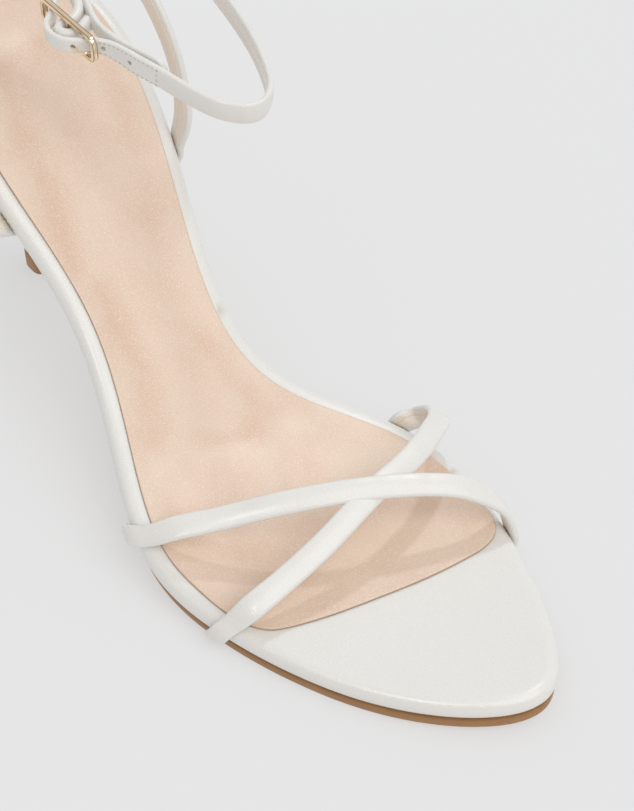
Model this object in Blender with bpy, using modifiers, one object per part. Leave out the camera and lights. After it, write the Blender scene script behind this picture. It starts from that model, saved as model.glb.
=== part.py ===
"""Strappy high-heeled sandal, right foot, standing empty on its sole.

Lengths are in millimetres in the tables below and metres in the model. X runs from the back of the
heel to the toe, Y to the inner (medial) side of the foot and Z up from the floor.
"""

import math

import bmesh
import bpy
import numpy as np

MM = 0.001

# Main sizes of the shoe.
LENGTH = 230.2
GAP = 0.3
BOARD_THICK = 5.9
EDGE_RADIUS = BOARD_THICK / 2
OUTSOLE_THICK = 2.5
SOCK_THICK = 0.8
SOCK_INSET = 4.2
SOCK_SIDE_END = 160.0
HEEL_BREAST = 47.4
TOP_PIECE_HEIGHT = 6.5
VAMP_WIDTH = 6.4
VAMP_THICK = 1.9
HEEL_STRAP_WIDTH = 7.0
HEEL_STRAP_THICK = 1.8
ANKLE_WIDTH = 6.0
ANKLE_THICK = 1.5
STRAP_CROWN = 0.12

# Middle of the bounding box in the shoe's own sizes, taken as the origin on the floor.
ORIGIN = (115.119, -0.475, 0.0)

# Outline of the footbed seen from above: share of the length, outer edge, inner edge.
OUTLINE = [
    (0.00, 0.1, 0.1),
    (0.02, -11.2, 11.7),
    (0.07, -20.7, 21.3),
    (0.16, -28.0, 26.2),
    (0.28, -28.6, 22.6),
    (0.40, -26.9, 14.4),
    (0.52, -35.4, 15.6),
    (0.63, -42.4, 34.6),
    (0.72, -39.3, 39.8),
    (0.80, -33.1, 36.8),
    (0.88, -23.9, 31.0),
    (0.95, -11.6, 22.8),
    (0.985, -2.0, 16.2),
    (1.00, 8.2, 8.2),
]

# Side profile: share of the length, height of the footbed's top edge, dip in the middle of its width.
PROFILE = [
    (0.00, 90.7, 1.6),
    (0.10, 86.7, 2.2),
    (0.20, 75.7, 2.0),
    (0.30, 59.3, 1.4),
    (0.40, 40.8, 0.9),
    (0.50, 25.4, 0.5),
    (0.60, 14.9, 0.2),
    (0.68, 9.7, 0.1),
    (0.74, 8.6, 0.0),
    (0.80, 8.5, 0.0),
    (0.86, 8.6, 0.0),
    (0.92, 9.4, 0.0),
    (1.00, 11.4, 0.0),
]

# How far the outsole stands back from the footbed's edge: share of the length, distance.
OUTSOLE_SETBACK = [
    (0.20, 5.0),
    (0.38, 4.6),
    (0.50, 3.4),
    (0.60, 1.7),
    (0.70, 1.0),
    (1.00, 0.9),
]

# Front edge of the sock lining, from the outer side to the inner side: x, y.
SOCK_FRONT = [
    (166.0, -35.6),
    (172.2, -33.4),
    (176.4, -30.4),
    (179.2, -25.0),
    (182.4, -14.6),
    (184.9, -3.3),
    (187.0, 7.5),
    (188.4, 19.0),
    (188.8, 25.0),
    (188.2, 29.2),
    (186.4, 32.6),
    (183.2, 34.8),
    (177.0, 35.7),
    (168.0, 36.0),
]

# Sections of the heel from tip to seat: share of the height, share of the seat's outline.
HEEL_SECTIONS = [
    (0.00, 0.000),
    (0.18, 0.020),
    (0.36, 0.060),
    (0.52, 0.125),
    (0.66, 0.220),
    (0.77, 0.345),
    (0.86, 0.510),
    (0.93, 0.710),
    (0.98, 0.900),
    (1.00, 1.000),
]

# Foot of the heel on the floor: middle, half length, half width, squareness of its corners.
TIP_MIDDLE = (22.9, 0.0)
TIP_HALF = (4.4, 4.8)
TIP_POWER = 3.4

# Where straps leave the sole's edge: the x at the tucked end and at the take-off, and the angles
# round the half-round edge there (0 is straight out, 90 is on top, negative is below), and the width.
WRAPS = {
    "front_outer": {"side": "outer", "x": (135.0, 138.6), "angle": (-32.0, 58.0), "width": 5.4},
    "front_inner": {"side": "inner", "x": (187.0, 186.6), "angle": (-32.0, 14.0), "width": 6.6},
    "cross_outer": {"side": "outer", "x": (167.0, 170.2), "angle": (-32.0, 56.0), "width": 5.2},
    "cross_inner": {"side": "inner", "x": (143.8, 145.4), "angle": (-32.0, 20.0), "width": 7.0},
    "heel_outer": {"side": "outer", "x": (67.2, 66.6), "angle": (-100.0, -66.0), "width": 7.0},
    "heel_inner": {"side": "inner", "x": (68.4, 65.8), "angle": (-72.0, 6.0), "width": 7.0},
}

# Middle line of each free strap: x, y, z, the direction across the strap, width.
FRONT_STRAP = [
    (144.3, -34.5, 18.8, 0.86, -0.43, -0.28, 6.4),
    (148.7, -27.3, 20.4, 0.82, -0.37, -0.44, 6.0),
    (153.6, -18.6, 22.5, 0.80, -0.36, -0.48, 6.0),
    (159.7, -8.0, 24.8, 0.79, -0.38, -0.48, 6.0),
    (165.2, 2.7, 25.5, 0.77, -0.42, -0.47, 6.0),
    (170.6, 13.5, 24.9, 0.75, -0.48, -0.45, 6.0),
    (175.1, 22.3, 23.2, 0.74, -0.55, -0.40, 6.0),
    (178.8, 28.6, 20.9, 0.70, -0.62, -0.35, 6.0),
    (181.7, 32.9, 17.6, 0.86, -0.48, -0.14, 6.5),
    (184.4, 36.0, 13.4, 0.96, -0.28, 0.00, 6.8),
]
CROSS_STRAP = [
    (171.9, -32.1, 13.9, 0.95, 0.07, -0.29, 6.5),
    (172.1, -24.5, 16.4, 0.89, 0.14, -0.44, 6.2),
    (171.7, -16.9, 18.3, 0.89, 0.17, -0.43, 6.2),
    (171.0, -8.8, 20.5, 0.88, 0.21, -0.42, 6.2),
    (169.6, -0.1, 22.8, 0.87, 0.25, -0.42, 6.2),
    (168.4, 6.1, 24.0, 0.87, 0.22, -0.44, 6.2),
    (167.2, 12.8, 24.5, 0.89, 0.18, -0.41, 6.2),
    (165.7, 20.0, 24.3, 0.89, 0.24, -0.38, 6.2),
    (163.2, 27.4, 24.1, 0.86, 0.33, -0.39, 6.2),
    (159.7, 34.1, 22.9, 0.89, 0.27, -0.18, 6.2),
    (156.4, 38.7, 20.6, 0.90, 0.17, 0.02, 6.2),
    (153.0, 40.7, 17.7, 0.91, 0.20, 0.04, 6.6),
    (149.5, 40.4, 14.7, 0.92, 0.34, 0.00, 6.8),
]
HEEL_STRAP = [
    (65.6, -33.2, 61.4, 0.84, 0.00, -0.50, 7.0),
    (64.2, -36.4, 65.6, 0.92, 0.00, -0.24, 7.0),
    (62.2, -37.4, 73.0, 0.97, 0.00, 0.10, 7.0),
    (58.2, -37.2, 82.0, 0.88, -0.02, 0.40, 7.0),
    (52.2, -36.0, 91.2, 0.78, -0.06, 0.60, 7.0),
    (43.0, -33.4, 101.6, 0.68, -0.14, 0.72, 7.0),
    (28.6, -27.4, 113.0, 0.50, -0.22, 0.84, 7.0),
    (13.2, -17.4, 121.2, 0.32, -0.14, 0.94, 7.0),
    (5.2, -0.8, 124.6, 0.24, 0.00, 0.97, 7.0),
    (13.2, 15.0, 121.2, 0.32, 0.14, 0.94, 7.0),
    (28.6, 22.6, 113.0, 0.50, 0.20, 0.84, 7.0),
    (43.0, 26.0, 102.0, 0.68, 0.12, 0.72, 7.0),
    (53.0, 27.0, 92.4, 0.78, 0.06, 0.62, 7.0),
    (59.4, 27.0, 84.0, 0.86, 0.02, 0.48, 7.0),
    (63.8, 26.2, 75.0, 0.94, 0.00, 0.28, 7.0),
    (66.0, 24.6, 67.0, 0.98, 0.00, 0.10, 7.0),
]

# The ankle strap from its holed end, through the buckle, round the front and the back of the ankle
# to the end that lies under the buckle: x, y, z, direction across, width.
ANKLE_STRAP = [
    (53.4, -1.5, 107.8, 0.00, 0.05, 1.00, 4.0),
    (56.0, -3.0, 107.3, 0.00, 0.02, 1.00, 4.0),
    (59.2, -6.0, 107.1, 0.00, 0.00, 1.00, 4.0),
    (62.2, -9.0, 107.1, 0.00, 0.00, 1.00, 4.0),
    (66.4, -10.3, 107.1, 0.00, 0.00, 1.00, 4.0),
    (70.8, -8.9, 107.1, 0.00, 0.00, 1.00, 4.0),
    (73.8, -5.4, 107.1, 0.00, 0.00, 1.00, 4.0),
    (76.8, -2.0, 106.7, 0.00, 0.00, 1.00, 4.4),
    (83.8, 0.7, 105.5, 0.00, -0.04, 1.00, 6.0),
    (91.0, 3.2, 104.3, 0.00, -0.06, 1.00, 6.0),
    (102.4, 6.9, 102.4, 0.04, -0.08, 1.00, 6.0),
    (109.2, 10.8, 101.4, 0.10, -0.06, 1.00, 6.0),
    (112.2, 16.2, 100.9, 0.12, 0.00, 1.00, 6.0),
    (109.2, 21.8, 100.9, 0.10, 0.08, 1.00, 6.0),
    (103.6, 25.3, 101.2, 0.05, 0.10, 1.00, 6.0),
    (91.4, 29.8, 102.3, 0.00, 0.10, 1.00, 6.0),
    (74.2, 33.2, 104.6, 0.02, 0.10, 1.00, 6.0),
    (58.0, 34.6, 108.0, 0.08, 0.10, 1.00, 6.0),
    (40.0, 32.8, 114.2, 0.16, 0.08, 0.98, 6.0),
    (24.0, 26.6, 120.0, 0.20, 0.06, 0.97, 6.0),
    (11.0, 15.8, 124.0, 0.22, 0.06, 0.97, 6.0),
    (3.3, -0.4, 125.4, 0.24, 0.00, 0.97, 6.0),
    (9.6, -17.6, 124.2, 0.22, -0.06, 0.97, 6.0),
    (20.0, -25.6, 122.0, 0.18, -0.04, 0.98, 6.0),
    (32.0, -28.0, 119.2, 0.14, 0.00, 0.98, 6.0),
    (42.0, -22.5, 116.0, 0.10, 0.00, 0.99, 6.0),
    (48.6, -9.5, 113.0, 0.06, 0.00, 1.00, 5.2),
    (53.0, 0.6, 110.8, 0.02, 0.00, 1.00, 4.8),
    (57.4, 3.2, 109.4, 0.02, 0.00, 1.00, 4.6),
    (62.8, 2.2, 108.4, 0.00, 0.00, 1.00, 4.6),
    (69.4, 0.4, 107.5, 0.00, 0.00, 1.00, 4.6),
    (76.6, 0.6, 106.8, 0.00, 0.00, 1.00, 4.8),
    (83.4, 3.0, 105.6, 0.00, -0.04, 1.00, 5.2),
    (90.6, 5.6, 104.5, 0.00, -0.06, 1.00, 5.2),
]

# The short strip that holds the buckle's middle bar: x, y, z, direction across, width.
CHAPE_WIDTH = 4.0
CHAPE_THICK = 2.4
CHAPE = [
    (62.4, 0.2, 107.4, 0.0, 0.0, 1.0, 4.0),
    (62.2, -3.2, 107.2, 0.0, 0.0, 1.0, 4.0),
    (63.2, -6.2, 107.1, 0.0, 0.0, 1.0, 4.0),
    (66.4, -7.9, 107.1, 0.0, 0.0, 1.0, 4.0),
    (69.5, -6.3, 107.1, 0.0, 0.0, 1.0, 4.0),
    (70.2, -3.8, 107.1, 0.0, 0.0, 1.0, 4.0),
    (70.0, -1.6, 107.1, 0.0, 0.0, 1.0, 4.0),
]

# The buckle: a long frame with an upright bar in the middle and a pin to its front end.
FRAME_MIDDLE = (65.9, -5.2, 107.1)
FRAME_SIZE = (23.6, 1.5, 7.0)
FRAME_WIRE = 1.2
FRAME_ROUND = 0.45
BAR_X = 66.4
BAR_RADIUS = 0.8

# The pin from the bar through the straps to the outer face of the frame's front end: x, y, z.
PRONG_RADIUS = 0.5
PRONG_HOLE_RADIUS = 0.9
PRONG_SIDES = 10
PRONG = [
    (67.6, -5.5, 107.0),
    (69.4, -6.7, 106.9),
    (71.6, -7.8, 106.8),
    (73.8, -8.1, 106.7),
    (75.4, -7.6, 106.7),
    (76.6, -6.9, 107.0),
]

COLOURS = {
    "white_leather": ((0.86, 0.85, 0.82), 0.0, 0.45),
    "blush_lining": ((0.80, 0.62, 0.50), 0.0, 0.50),
    "tan_sole": ((0.36, 0.19, 0.08), 0.0, 0.50),
    "pale_gold": ((0.90, 0.72, 0.46), 1.0, 0.18),
}


def column(table, index):
    """One column of a table as an array."""
    return np.array([row[index] for row in table], dtype=float)


def spline(knots, values):
    """Natural cubic through the knots, as a function of one number or an array."""
    knots = np.asarray(knots, dtype=float)
    values = np.asarray(values, dtype=float)
    count = len(knots)
    step = np.diff(knots)
    slope = np.diff(values) / step
    left = np.eye(count)
    right = np.zeros(count)
    for i in range(1, count - 1):
        left[i, i - 1] = step[i - 1]
        left[i, i] = 2 * (step[i - 1] + step[i])
        left[i, i + 1] = step[i]
        right[i] = 6 * (slope[i] - slope[i - 1])
    bend = np.linalg.solve(left, right)

    def value(at):
        at = np.clip(np.asarray(at, dtype=float), knots[0], knots[-1])
        i = np.clip(np.searchsorted(knots, at) - 1, 0, count - 2)
        a = (knots[i + 1] - at) / step[i]
        b = (at - knots[i]) / step[i]
        cubic = ((a**3 - a) * bend[i] + (b**3 - b) * bend[i + 1]) * step[i] ** 2 / 6
        return a * values[i] + b * values[i + 1] + cubic

    return value


def round_share(share):
    """Angle that makes both ends of an outline round when a spline runs over it."""
    return np.arccos(1 - 2 * np.clip(share, 0, 1))


OUTER_EDGE = spline(round_share(column(OUTLINE, 0)), column(OUTLINE, 1))
INNER_EDGE = spline(round_share(column(OUTLINE, 0)), column(OUTLINE, 2))
TOP_HEIGHT = spline(column(PROFILE, 0), column(PROFILE, 1))
TOP_DIP = spline(column(PROFILE, 0), column(PROFILE, 2))
SETBACK = spline(column(OUTSOLE_SETBACK, 0), column(OUTSOLE_SETBACK, 1))


def edges_at(x):
    """Outer and inner edge of the footbed at a distance from the heel."""
    angle = round_share(x / LENGTH)
    return float(OUTER_EDGE(angle)), float(INNER_EDGE(angle))


def profile_frame(x):
    """Height, forward direction and normal of the side profile at a distance from the heel."""
    share = min(max(x / LENGTH, 0.0), 1.0)
    rise = (float(TOP_HEIGHT(share + 0.002)) - float(TOP_HEIGHT(share - 0.002))) / (
        (min(share + 0.002, 1.0) - max(share - 0.002, 0.0)) * LENGTH
    )
    size = math.hypot(1.0, rise)
    forward = np.array([1.0 / size, 0.0, rise / size])
    normal = np.array([-rise / size, 0.0, 1.0 / size])
    return float(TOP_HEIGHT(share)), forward, normal


def on_sole(x, y, lift):
    """Point at a distance above the footbed's top edge, measured square to the profile."""
    height, _, normal = profile_frame(x)
    return np.array([x, y, height]) + normal * lift


def dip_at(x, y):
    """How far the dished middle of the footbed lies below its edge."""
    outer, inner = edges_at(x)
    half = max((inner - outer) / 2 - SOCK_INSET, 1.0)
    across = min(abs(y - (inner + outer) / 2) / half, 1.0)
    return float(TOP_DIP(x / LENGTH)) * (1 - across**2)


def footbed_ring(steps, start=0.0, end=LENGTH):
    """Closed outline of the footbed: the outer side forwards, then the inner side back."""
    low = float(round_share(start / LENGTH))
    high = float(round_share(end / LENGTH))
    angles = np.linspace(low, high, steps + 1)
    xs = (1 - np.cos(angles)) / 2 * LENGTH
    outer = [np.array([x, float(OUTER_EDGE(a))]) for x, a in zip(xs, angles)]
    inner = [np.array([x, float(INNER_EDGE(a))]) for x, a in zip(xs, angles)]
    if start <= 0.0:
        inner = inner[1:]
    if end >= LENGTH:
        inner = inner[:-1]
    return outer + inner[::-1]


def inward(ring):
    """Unit inward directions of a closed outline that runs with its inside on the left."""
    points = np.array(ring)
    chord = np.roll(points, -1, axis=0) - np.roll(points, 1, axis=0)
    chord /= np.linalg.norm(chord, axis=1)[:, None]
    return np.stack([-chord[:, 1], chord[:, 0]], axis=1)


def inset(ring, distance):
    """Outline moved inwards by one distance, or by one distance for each point."""
    distance = np.broadcast_to(np.asarray(distance, dtype=float), (len(ring),))
    return list(np.array(ring) + inward(ring) * distance[:, None])


def toward_spine(ring, share, hold, square_rear):
    """Outline shrunk by a share of the way to the line midway between its two sides."""
    count = len(ring)
    last = count // 2
    shrunk = []
    for i, point in enumerate(ring):
        other = count - 1 - i if square_rear else (count - i) % count
        pair = min(max(min(i, other), hold), last - hold)
        across = count - 1 - pair if square_rear else count - pair
        middle = (ring[pair] + ring[across]) / 2
        shrunk.append(point + (middle - point) * share)
    return shrunk


def resample(points, count):
    """A line of points spread evenly by length."""
    points = np.array(points)
    reach = np.concatenate([[0.0], np.cumsum(np.linalg.norm(np.diff(points, axis=0), axis=1))])
    at = np.linspace(0.0, reach[-1], count)
    return list(np.stack([np.interp(at, reach, points[:, k]) for k in (0, 1)], axis=1))


def new_object(name, mesh, material):
    """Object of a finished mesh in the shoe's collection."""
    thing = bpy.data.objects.new(name, mesh)
    SHOE.objects.link(thing)
    thing.data.materials.clear()
    thing.data.materials.append(material)
    return thing


def mesh_of(name, rings, cap_start=True, cap_end=True):
    """Closed mesh lofted through rings of points in the shoe's sizes."""
    work = bmesh.new()
    grid = []
    for ring in rings:
        row = [work.verts.new((np.asarray(p) - np.array(ORIGIN)) * MM) for p in ring]
        grid.append(row)
    count = len(grid[0])
    for near, far in zip(grid, grid[1:]):
        for i in range(count):
            j = (i + 1) % count
            work.faces.new((near[i], near[j], far[j], far[i]))
    if cap_start:
        work.faces.new(grid[0][::-1])
    if cap_end:
        work.faces.new(grid[-1])
    bmesh.ops.remove_doubles(work, verts=work.verts, dist=1e-6)
    bmesh.ops.dissolve_degenerate(work, edges=work.edges, dist=1e-7)
    bmesh.ops.recalc_face_normals(work, faces=work.faces)
    mesh = bpy.data.meshes.new(name)
    work.to_mesh(mesh)
    work.free()
    return mesh


def plate_rings(ring, rim, top_fill, bottom_fill, hold, dished, square_rear=False):
    """Rings of a plate on the sole: its top from the middle out, its rim, its underside back in."""
    rings = []
    top_dip, low_dip = dished

    def placed(flat, lift, dip):
        return [on_sole(x, y, lift - (dip_at(x, y) if dip else 0.0)) for x, y in flat]

    for share in top_fill:
        flat = toward_spine(inset(ring, rim[0][0]), share, hold, square_rear)
        rings.append(placed(flat, rim[0][1], top_dip))
    for distance, lift in rim:
        rings.append(placed(inset(ring, distance), lift, top_dip and low_dip))
    for share in bottom_fill:
        flat = toward_spine(inset(ring, rim[-1][0]), share, hold, square_rear)
        rings.append(placed(flat, rim[-1][1], low_dip))
    return rings


def half_round(top, radius, steps):
    """Rim rows of a half-round edge below a top height: inset, lift."""
    rows = []
    for k in range(steps + 1):
        angle = math.radians(90.0 - 180.0 * k / steps)
        rows.append((radius * (1 - math.cos(angle)), top - radius + radius * math.sin(angle)))
    return rows


def build_footbed():
    """White wrapped footbed with a half-round edge and a dished seat."""
    rim = half_round(0.0, EDGE_RADIUS, 6)
    rings = plate_rings(footbed_ring(34), rim, (1.0, 0.8, 0.6, 0.4, 0.2), (0.5, 1.0), 4, (True, False))
    return new_object("footbed", mesh_of("footbed", rings, False, False), MATERIALS["white_leather"])


def build_sock():
    """Blush sock lining that stops at an oblique line behind the toes."""
    whole = inset(footbed_ring(60), SOCK_INSET)
    half = len(whole) // 2
    outer = [p for p in whole[: half + 1] if p[0] < SOCK_SIDE_END]
    inner = [whole[0]] + [p for p in whole[:half:-1] if p[0] < SOCK_SIDE_END]
    front = [np.array(p) for p in SOCK_FRONT]
    tip = max(range(len(front)), key=lambda k: front[k][0])
    outer = resample(outer + front[: tip + 1], 33)
    inner = resample(inner + front[:tip:-1] + [front[tip]], 33)
    ring = outer + inner[-2:0:-1]
    low = 1.4 * GAP
    high = low + SOCK_THICK
    rim = [(0.5, high), (0.12, high - 0.15), (0.0, high - 0.4), (0.0, low)]
    rings = plate_rings(ring, rim, (1.0, 0.66, 0.33), (0.25, 0.5, 0.75, 1.0), 3, (True, True))
    return new_object("sock_lining", mesh_of("sock_lining", rings, False, False), MATERIALS["blush_lining"])


def build_outsole():
    """Thin tan outsole from the heel's breast to the toe, flat where it stands on the floor."""
    ring = footbed_ring(34, HEEL_BREAST + 2 * GAP, LENGTH)
    back = [float(SETBACK(p[0] / LENGTH)) for p in ring]
    moved = inset(ring, back)
    moved[0] = np.array([ring[0][0], ring[0][1] + back[0]])
    moved[-1] = np.array([ring[-1][0], ring[-1][1] - back[-1]])
    top = -BOARD_THICK - GAP
    low = top - OUTSOLE_THICK
    rim = [(0.5, top), (0.0, top - 0.4), (0.0, low + 0.5), (0.6, low)]
    rings = plate_rings(moved, rim, (1.0, 0.5), (0.34, 0.68, 1.0), 3, (False, False), True)
    flat = [[np.array([p[0], p[1], max(p[2], 0.0)]) for p in one] for one in rings]
    return new_object("outsole", mesh_of("outsole", flat, False, False), MATERIALS["tan_sole"])


def tip_ring(count):
    """Foot of the heel as a squared oval, starting at the outer front corner."""
    points = []
    for k in range(count):
        angle = math.radians(-45.0 - 360.0 * k / count)
        c, s = math.cos(angle), math.sin(angle)
        size = (abs(c) ** TIP_POWER + abs(s) ** TIP_POWER) ** (-1.0 / TIP_POWER)
        points.append((TIP_MIDDLE[0] + TIP_HALF[0] * c * size, TIP_MIDDLE[1] + TIP_HALF[1] * s * size))
    return points


def seat_ring(count):
    """Top of the heel under the footbed, from the outer breast corner round the back."""
    sides = count * 3 // 4
    high = float(round_share((HEEL_BREAST - 0.8) / LENGTH))
    points = []
    for k in range(sides):
        turn = 1 - 2 * k / (sides - 1)
        angle = abs(turn) * high
        x = (1 - math.cos(angle)) / 2 * LENGTH
        edge = OUTER_EDGE if turn >= 0 else INNER_EDGE
        outer, inner = edges_at(x)
        middle = (outer + inner) / 2
        y = float(edge(angle))
        points.append((x + 2.2 * (1 - x / HEEL_BREAST), middle + (y - middle) * 0.93))
    first, last = points[0], points[-1]
    for k in range(1, count - sides + 1):
        share = k / (count - sides + 1)
        bow = 4.0 * math.sin(math.pi * share)
        points.append((last[0] - bow, last[1] + (first[1] - last[1]) * share))
    return points


def build_heel():
    """Slim white heel flaring to the seat, and its tan top piece on the floor."""
    count = 40
    tip = tip_ring(count)
    seat = [on_sole(x, y, -BOARD_THICK - GAP) for x, y in seat_ring(count)]
    low = TOP_PIECE_HEIGHT + GAP
    rings = []
    for height, size in HEEL_SECTIONS:
        ring = []
        for (x, y), top in zip(tip, seat):
            ring.append((x + (top[0] - x) * size, y + (top[1] - y) * size, low + (top[2] - low) * height))
        rings.append(ring)
    rings.append([on_sole(x, y, -BOARD_THICK - GAP) for x, y in shrink(seat_ring(count), 0.5)])
    new_object("heel", mesh_of("heel", rings), MATERIALS["white_leather"])
    piece = [[(x, y, z) for x, y in tip] for z in (0.0, TOP_PIECE_HEIGHT)]
    new_object("heel_top_piece", mesh_of("heel_top_piece", piece), MATERIALS["tan_sole"])


def shrink(points, share):
    """Points moved by a share of the way to their mean."""
    flat = np.array(points)
    return flat + (flat.mean(axis=0) - flat) * share


def wrap_rows(name, thick):
    """Rows of a strap round the sole's half-round edge, from the tucked end to the take-off."""
    wrap = WRAPS[name]
    reach = EDGE_RADIUS + GAP + thick / 2
    steps = max(3, round(abs(wrap["angle"][1] - wrap["angle"][0]) / 22.0))
    rows = []
    for k in range(steps + 1):
        share = k / steps
        x = wrap["x"][0] + (wrap["x"][1] - wrap["x"][0]) * share
        angle = math.radians(wrap["angle"][0] + (wrap["angle"][1] - wrap["angle"][0]) * share)
        near = edges_at(x - 0.5)
        far = edges_at(x + 0.5)
        pick = 0 if wrap["side"] == "outer" else 1
        along = np.array([1.0, far[pick] - near[pick]])
        along /= np.linalg.norm(along)
        out = np.array([along[1], -along[0]]) if pick == 0 else np.array([-along[1], along[0]])
        height, forward, normal = profile_frame(x)
        outward = out[0] * forward + out[1] * np.array([0.0, 1.0, 0.0])
        across = along[0] * forward + along[1] * np.array([0.0, 1.0, 0.0])
        edge = np.array([x, edges_at(x)[pick], height])
        middle = edge - outward * EDGE_RADIUS - normal * EDGE_RADIUS
        point = middle + reach * (math.cos(angle) * outward + math.sin(angle) * normal)
        rows.append((*point, *across, wrap["width"]))
    return rows


def strap_section(width, thick):
    """Half-round edges and a slightly crowned face: offsets across and along the normal."""
    radius = thick / 2
    reach = width / 2 - radius
    points = [(0.0, -radius)]
    for degrees in (-90, -40, 0, 40, 90):
        angle = math.radians(degrees)
        points.append((reach + radius * math.cos(angle), radius * math.sin(angle)))
    points.append((0.0, radius + STRAP_CROWN))
    for degrees in (90, 140, 180, 220, 270):
        angle = math.radians(degrees)
        points.append((-reach + radius * math.cos(angle), radius * math.sin(angle)))
    return points


def strap_rings(rows, width, thick, step, rounded=(False, False)):
    """Sections of a strap along its middle line, a station at every row and between them."""
    table = np.array([row[:6] for row in rows], dtype=float)
    widths = np.array([row[6] if len(row) > 6 else width for row in rows], dtype=float)
    reach = np.concatenate([[0.0], np.cumsum(np.linalg.norm(np.diff(table[:, :3], axis=0), axis=1))])
    curves = [spline(reach, table[:, k]) for k in range(6)]
    stations = []
    for near, far in zip(reach, reach[1:]):
        parts = max(1, round((far - near) / step))
        stations += [near + (far - near) * k / parts for k in range(parts)]
    stations.append(reach[-1])
    if rounded[0]:
        stations[1:1] = [0.35, 0.9, 1.8]
    if rounded[1]:
        stations[-1:-1] = [reach[-1] - 1.8, reach[-1] - 0.9, reach[-1] - 0.35]
    stations = sorted(set(round(s, 6) for s in stations))
    stations = [s for i, s in enumerate(stations) if i in (0, len(stations) - 1) or s - stations[i - 1] > 0.3]
    rings = []
    for at in stations:
        point = np.array([float(c(at)) for c in curves[:3]])
        ahead = np.array([float(c(min(at + 0.2, reach[-1]))) for c in curves[:3]])
        behind = np.array([float(c(max(at - 0.2, 0.0))) for c in curves[:3]])
        along = (ahead - behind) / np.linalg.norm(ahead - behind)
        across = np.array([float(c(at)) for c in curves[3:]])
        across -= along * np.dot(across, along)
        across /= np.linalg.norm(across)
        normal = np.cross(across, along)
        here = float(np.interp(at, reach, widths))
        narrow = 1.0
        if rounded[0] and at < here / 2:
            narrow = math.sqrt(max(1 - (1 - at / (here / 2)) ** 2, 0.12))
        if rounded[1] and reach[-1] - at < here / 2:
            narrow = math.sqrt(max(1 - (1 - (reach[-1] - at) / (here / 2)) ** 2, 0.12))
        section = strap_section(max(here * narrow, thick * 1.05), thick)
        rings.append([point + across * a + normal * b for a, b in section])
    return rings


def build_vamp_straps():
    """Two straps over the toes, joined where the front one crosses over the other."""
    front = wrap_rows("front_outer", VAMP_THICK) + FRONT_STRAP + wrap_rows("front_inner", VAMP_THICK)[::-1]
    cross = wrap_rows("cross_outer", VAMP_THICK) + CROSS_STRAP + wrap_rows("cross_inner", VAMP_THICK)[::-1]
    upper = new_object(
        "vamp_straps",
        mesh_of("vamp_straps", strap_rings(front, VAMP_WIDTH, VAMP_THICK, 3.0)),
        MATERIALS["white_leather"],
    )
    other = new_object(
        "cross_strap",
        mesh_of("cross_strap", strap_rings(cross, VAMP_WIDTH, VAMP_THICK, 3.0)),
        MATERIALS["white_leather"],
    )
    join(upper, other, "UNION")
    return upper


def join(target, tool, kind):
    """Exact Boolean of a target with a tool that is then kept out of sight."""
    SHOE.objects.unlink(tool)
    TOOLS.objects.link(tool)
    tool.hide_render = True
    tool.display_type = "WIRE"
    change = target.modifiers.new(kind.lower(), "BOOLEAN")
    change.operation = kind
    change.solver = "EXACT"
    change.object = tool


def build_heel_strap():
    """Strap from one side of the waist round the back of the heel to the other side."""
    rows = wrap_rows("heel_outer", HEEL_STRAP_THICK) + HEEL_STRAP + wrap_rows("heel_inner", HEEL_STRAP_THICK)[::-1]
    rings = strap_rings(rows, HEEL_STRAP_WIDTH, HEEL_STRAP_THICK, 4.0)
    return new_object("heel_strap", mesh_of("heel_strap", rings), MATERIALS["white_leather"])


def tube_rings(rows, radius, step, tip):
    """Round sections along a curved pin, a little thinner at its very ends where a tip is given."""
    table = np.array(rows, dtype=float)
    reach = np.concatenate([[0.0], np.cumsum(np.linalg.norm(np.diff(table, axis=0), axis=1))])
    curves = [spline(reach, table[:, k]) for k in range(3)]
    stations = list(np.linspace(0.0, reach[-1], round(reach[-1] / step) + 1))
    if tip:
        stations[1:1] = [tip]
        stations[-1:-1] = [reach[-1] - tip]
    rings = []
    for at in stations:
        point = np.array([float(c(at)) for c in curves])
        ahead = np.array([float(c(min(at + 0.1, reach[-1]))) for c in curves])
        behind = np.array([float(c(max(at - 0.1, 0.0))) for c in curves])
        along = (ahead - behind) / np.linalg.norm(ahead - behind)
        up = np.array([0.0, 0.0, 1.0])
        up -= along * np.dot(up, along)
        up /= np.linalg.norm(up)
        side = np.cross(up, along)
        here = radius - tip if at in (stations[0], stations[-1]) else radius
        turns = [2 * math.pi * k / PRONG_SIDES for k in range(PRONG_SIDES)]
        rings.append([point + here * (math.cos(t) * up + math.sin(t) * side) for t in turns])
    return rings


def prong_hole(name):
    """Cutter round the pin of the buckle, past both of its ends."""
    first, second = np.array(PRONG[0]), np.array(PRONG[1])
    last, before = np.array(PRONG[-1]), np.array(PRONG[-2])
    rows = [first - (second - first) * 0.3, *PRONG, last + (last - before) * 0.3]
    rings = tube_rings(rows, PRONG_HOLE_RADIUS, 1.8, 0.0)
    return new_object(name, mesh_of(name, rings), MATERIALS["white_leather"])


def build_ankle_strap():
    """Slack ankle strap, and the strip that holds the buckle on it."""
    rings = strap_rings(ANKLE_STRAP, ANKLE_WIDTH, ANKLE_THICK, 3.4, (True, True))
    strap = new_object("ankle_strap", mesh_of("ankle_strap", rings), MATERIALS["white_leather"])
    join(strap, prong_hole("ankle_strap_hole"), "DIFFERENCE")
    loop = strap_rings(CHAPE, CHAPE_WIDTH, CHAPE_THICK, 1.4)
    chape = new_object("buckle_chape", mesh_of("buckle_chape", loop), MATERIALS["white_leather"])
    join(chape, prong_hole("chape_hole"), "DIFFERENCE")


def place(x, y, z):
    """A position in the shoe's sizes as a location in the model."""
    return tuple((np.array([x, y, z]) - np.array(ORIGIN)) * MM)


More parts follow.
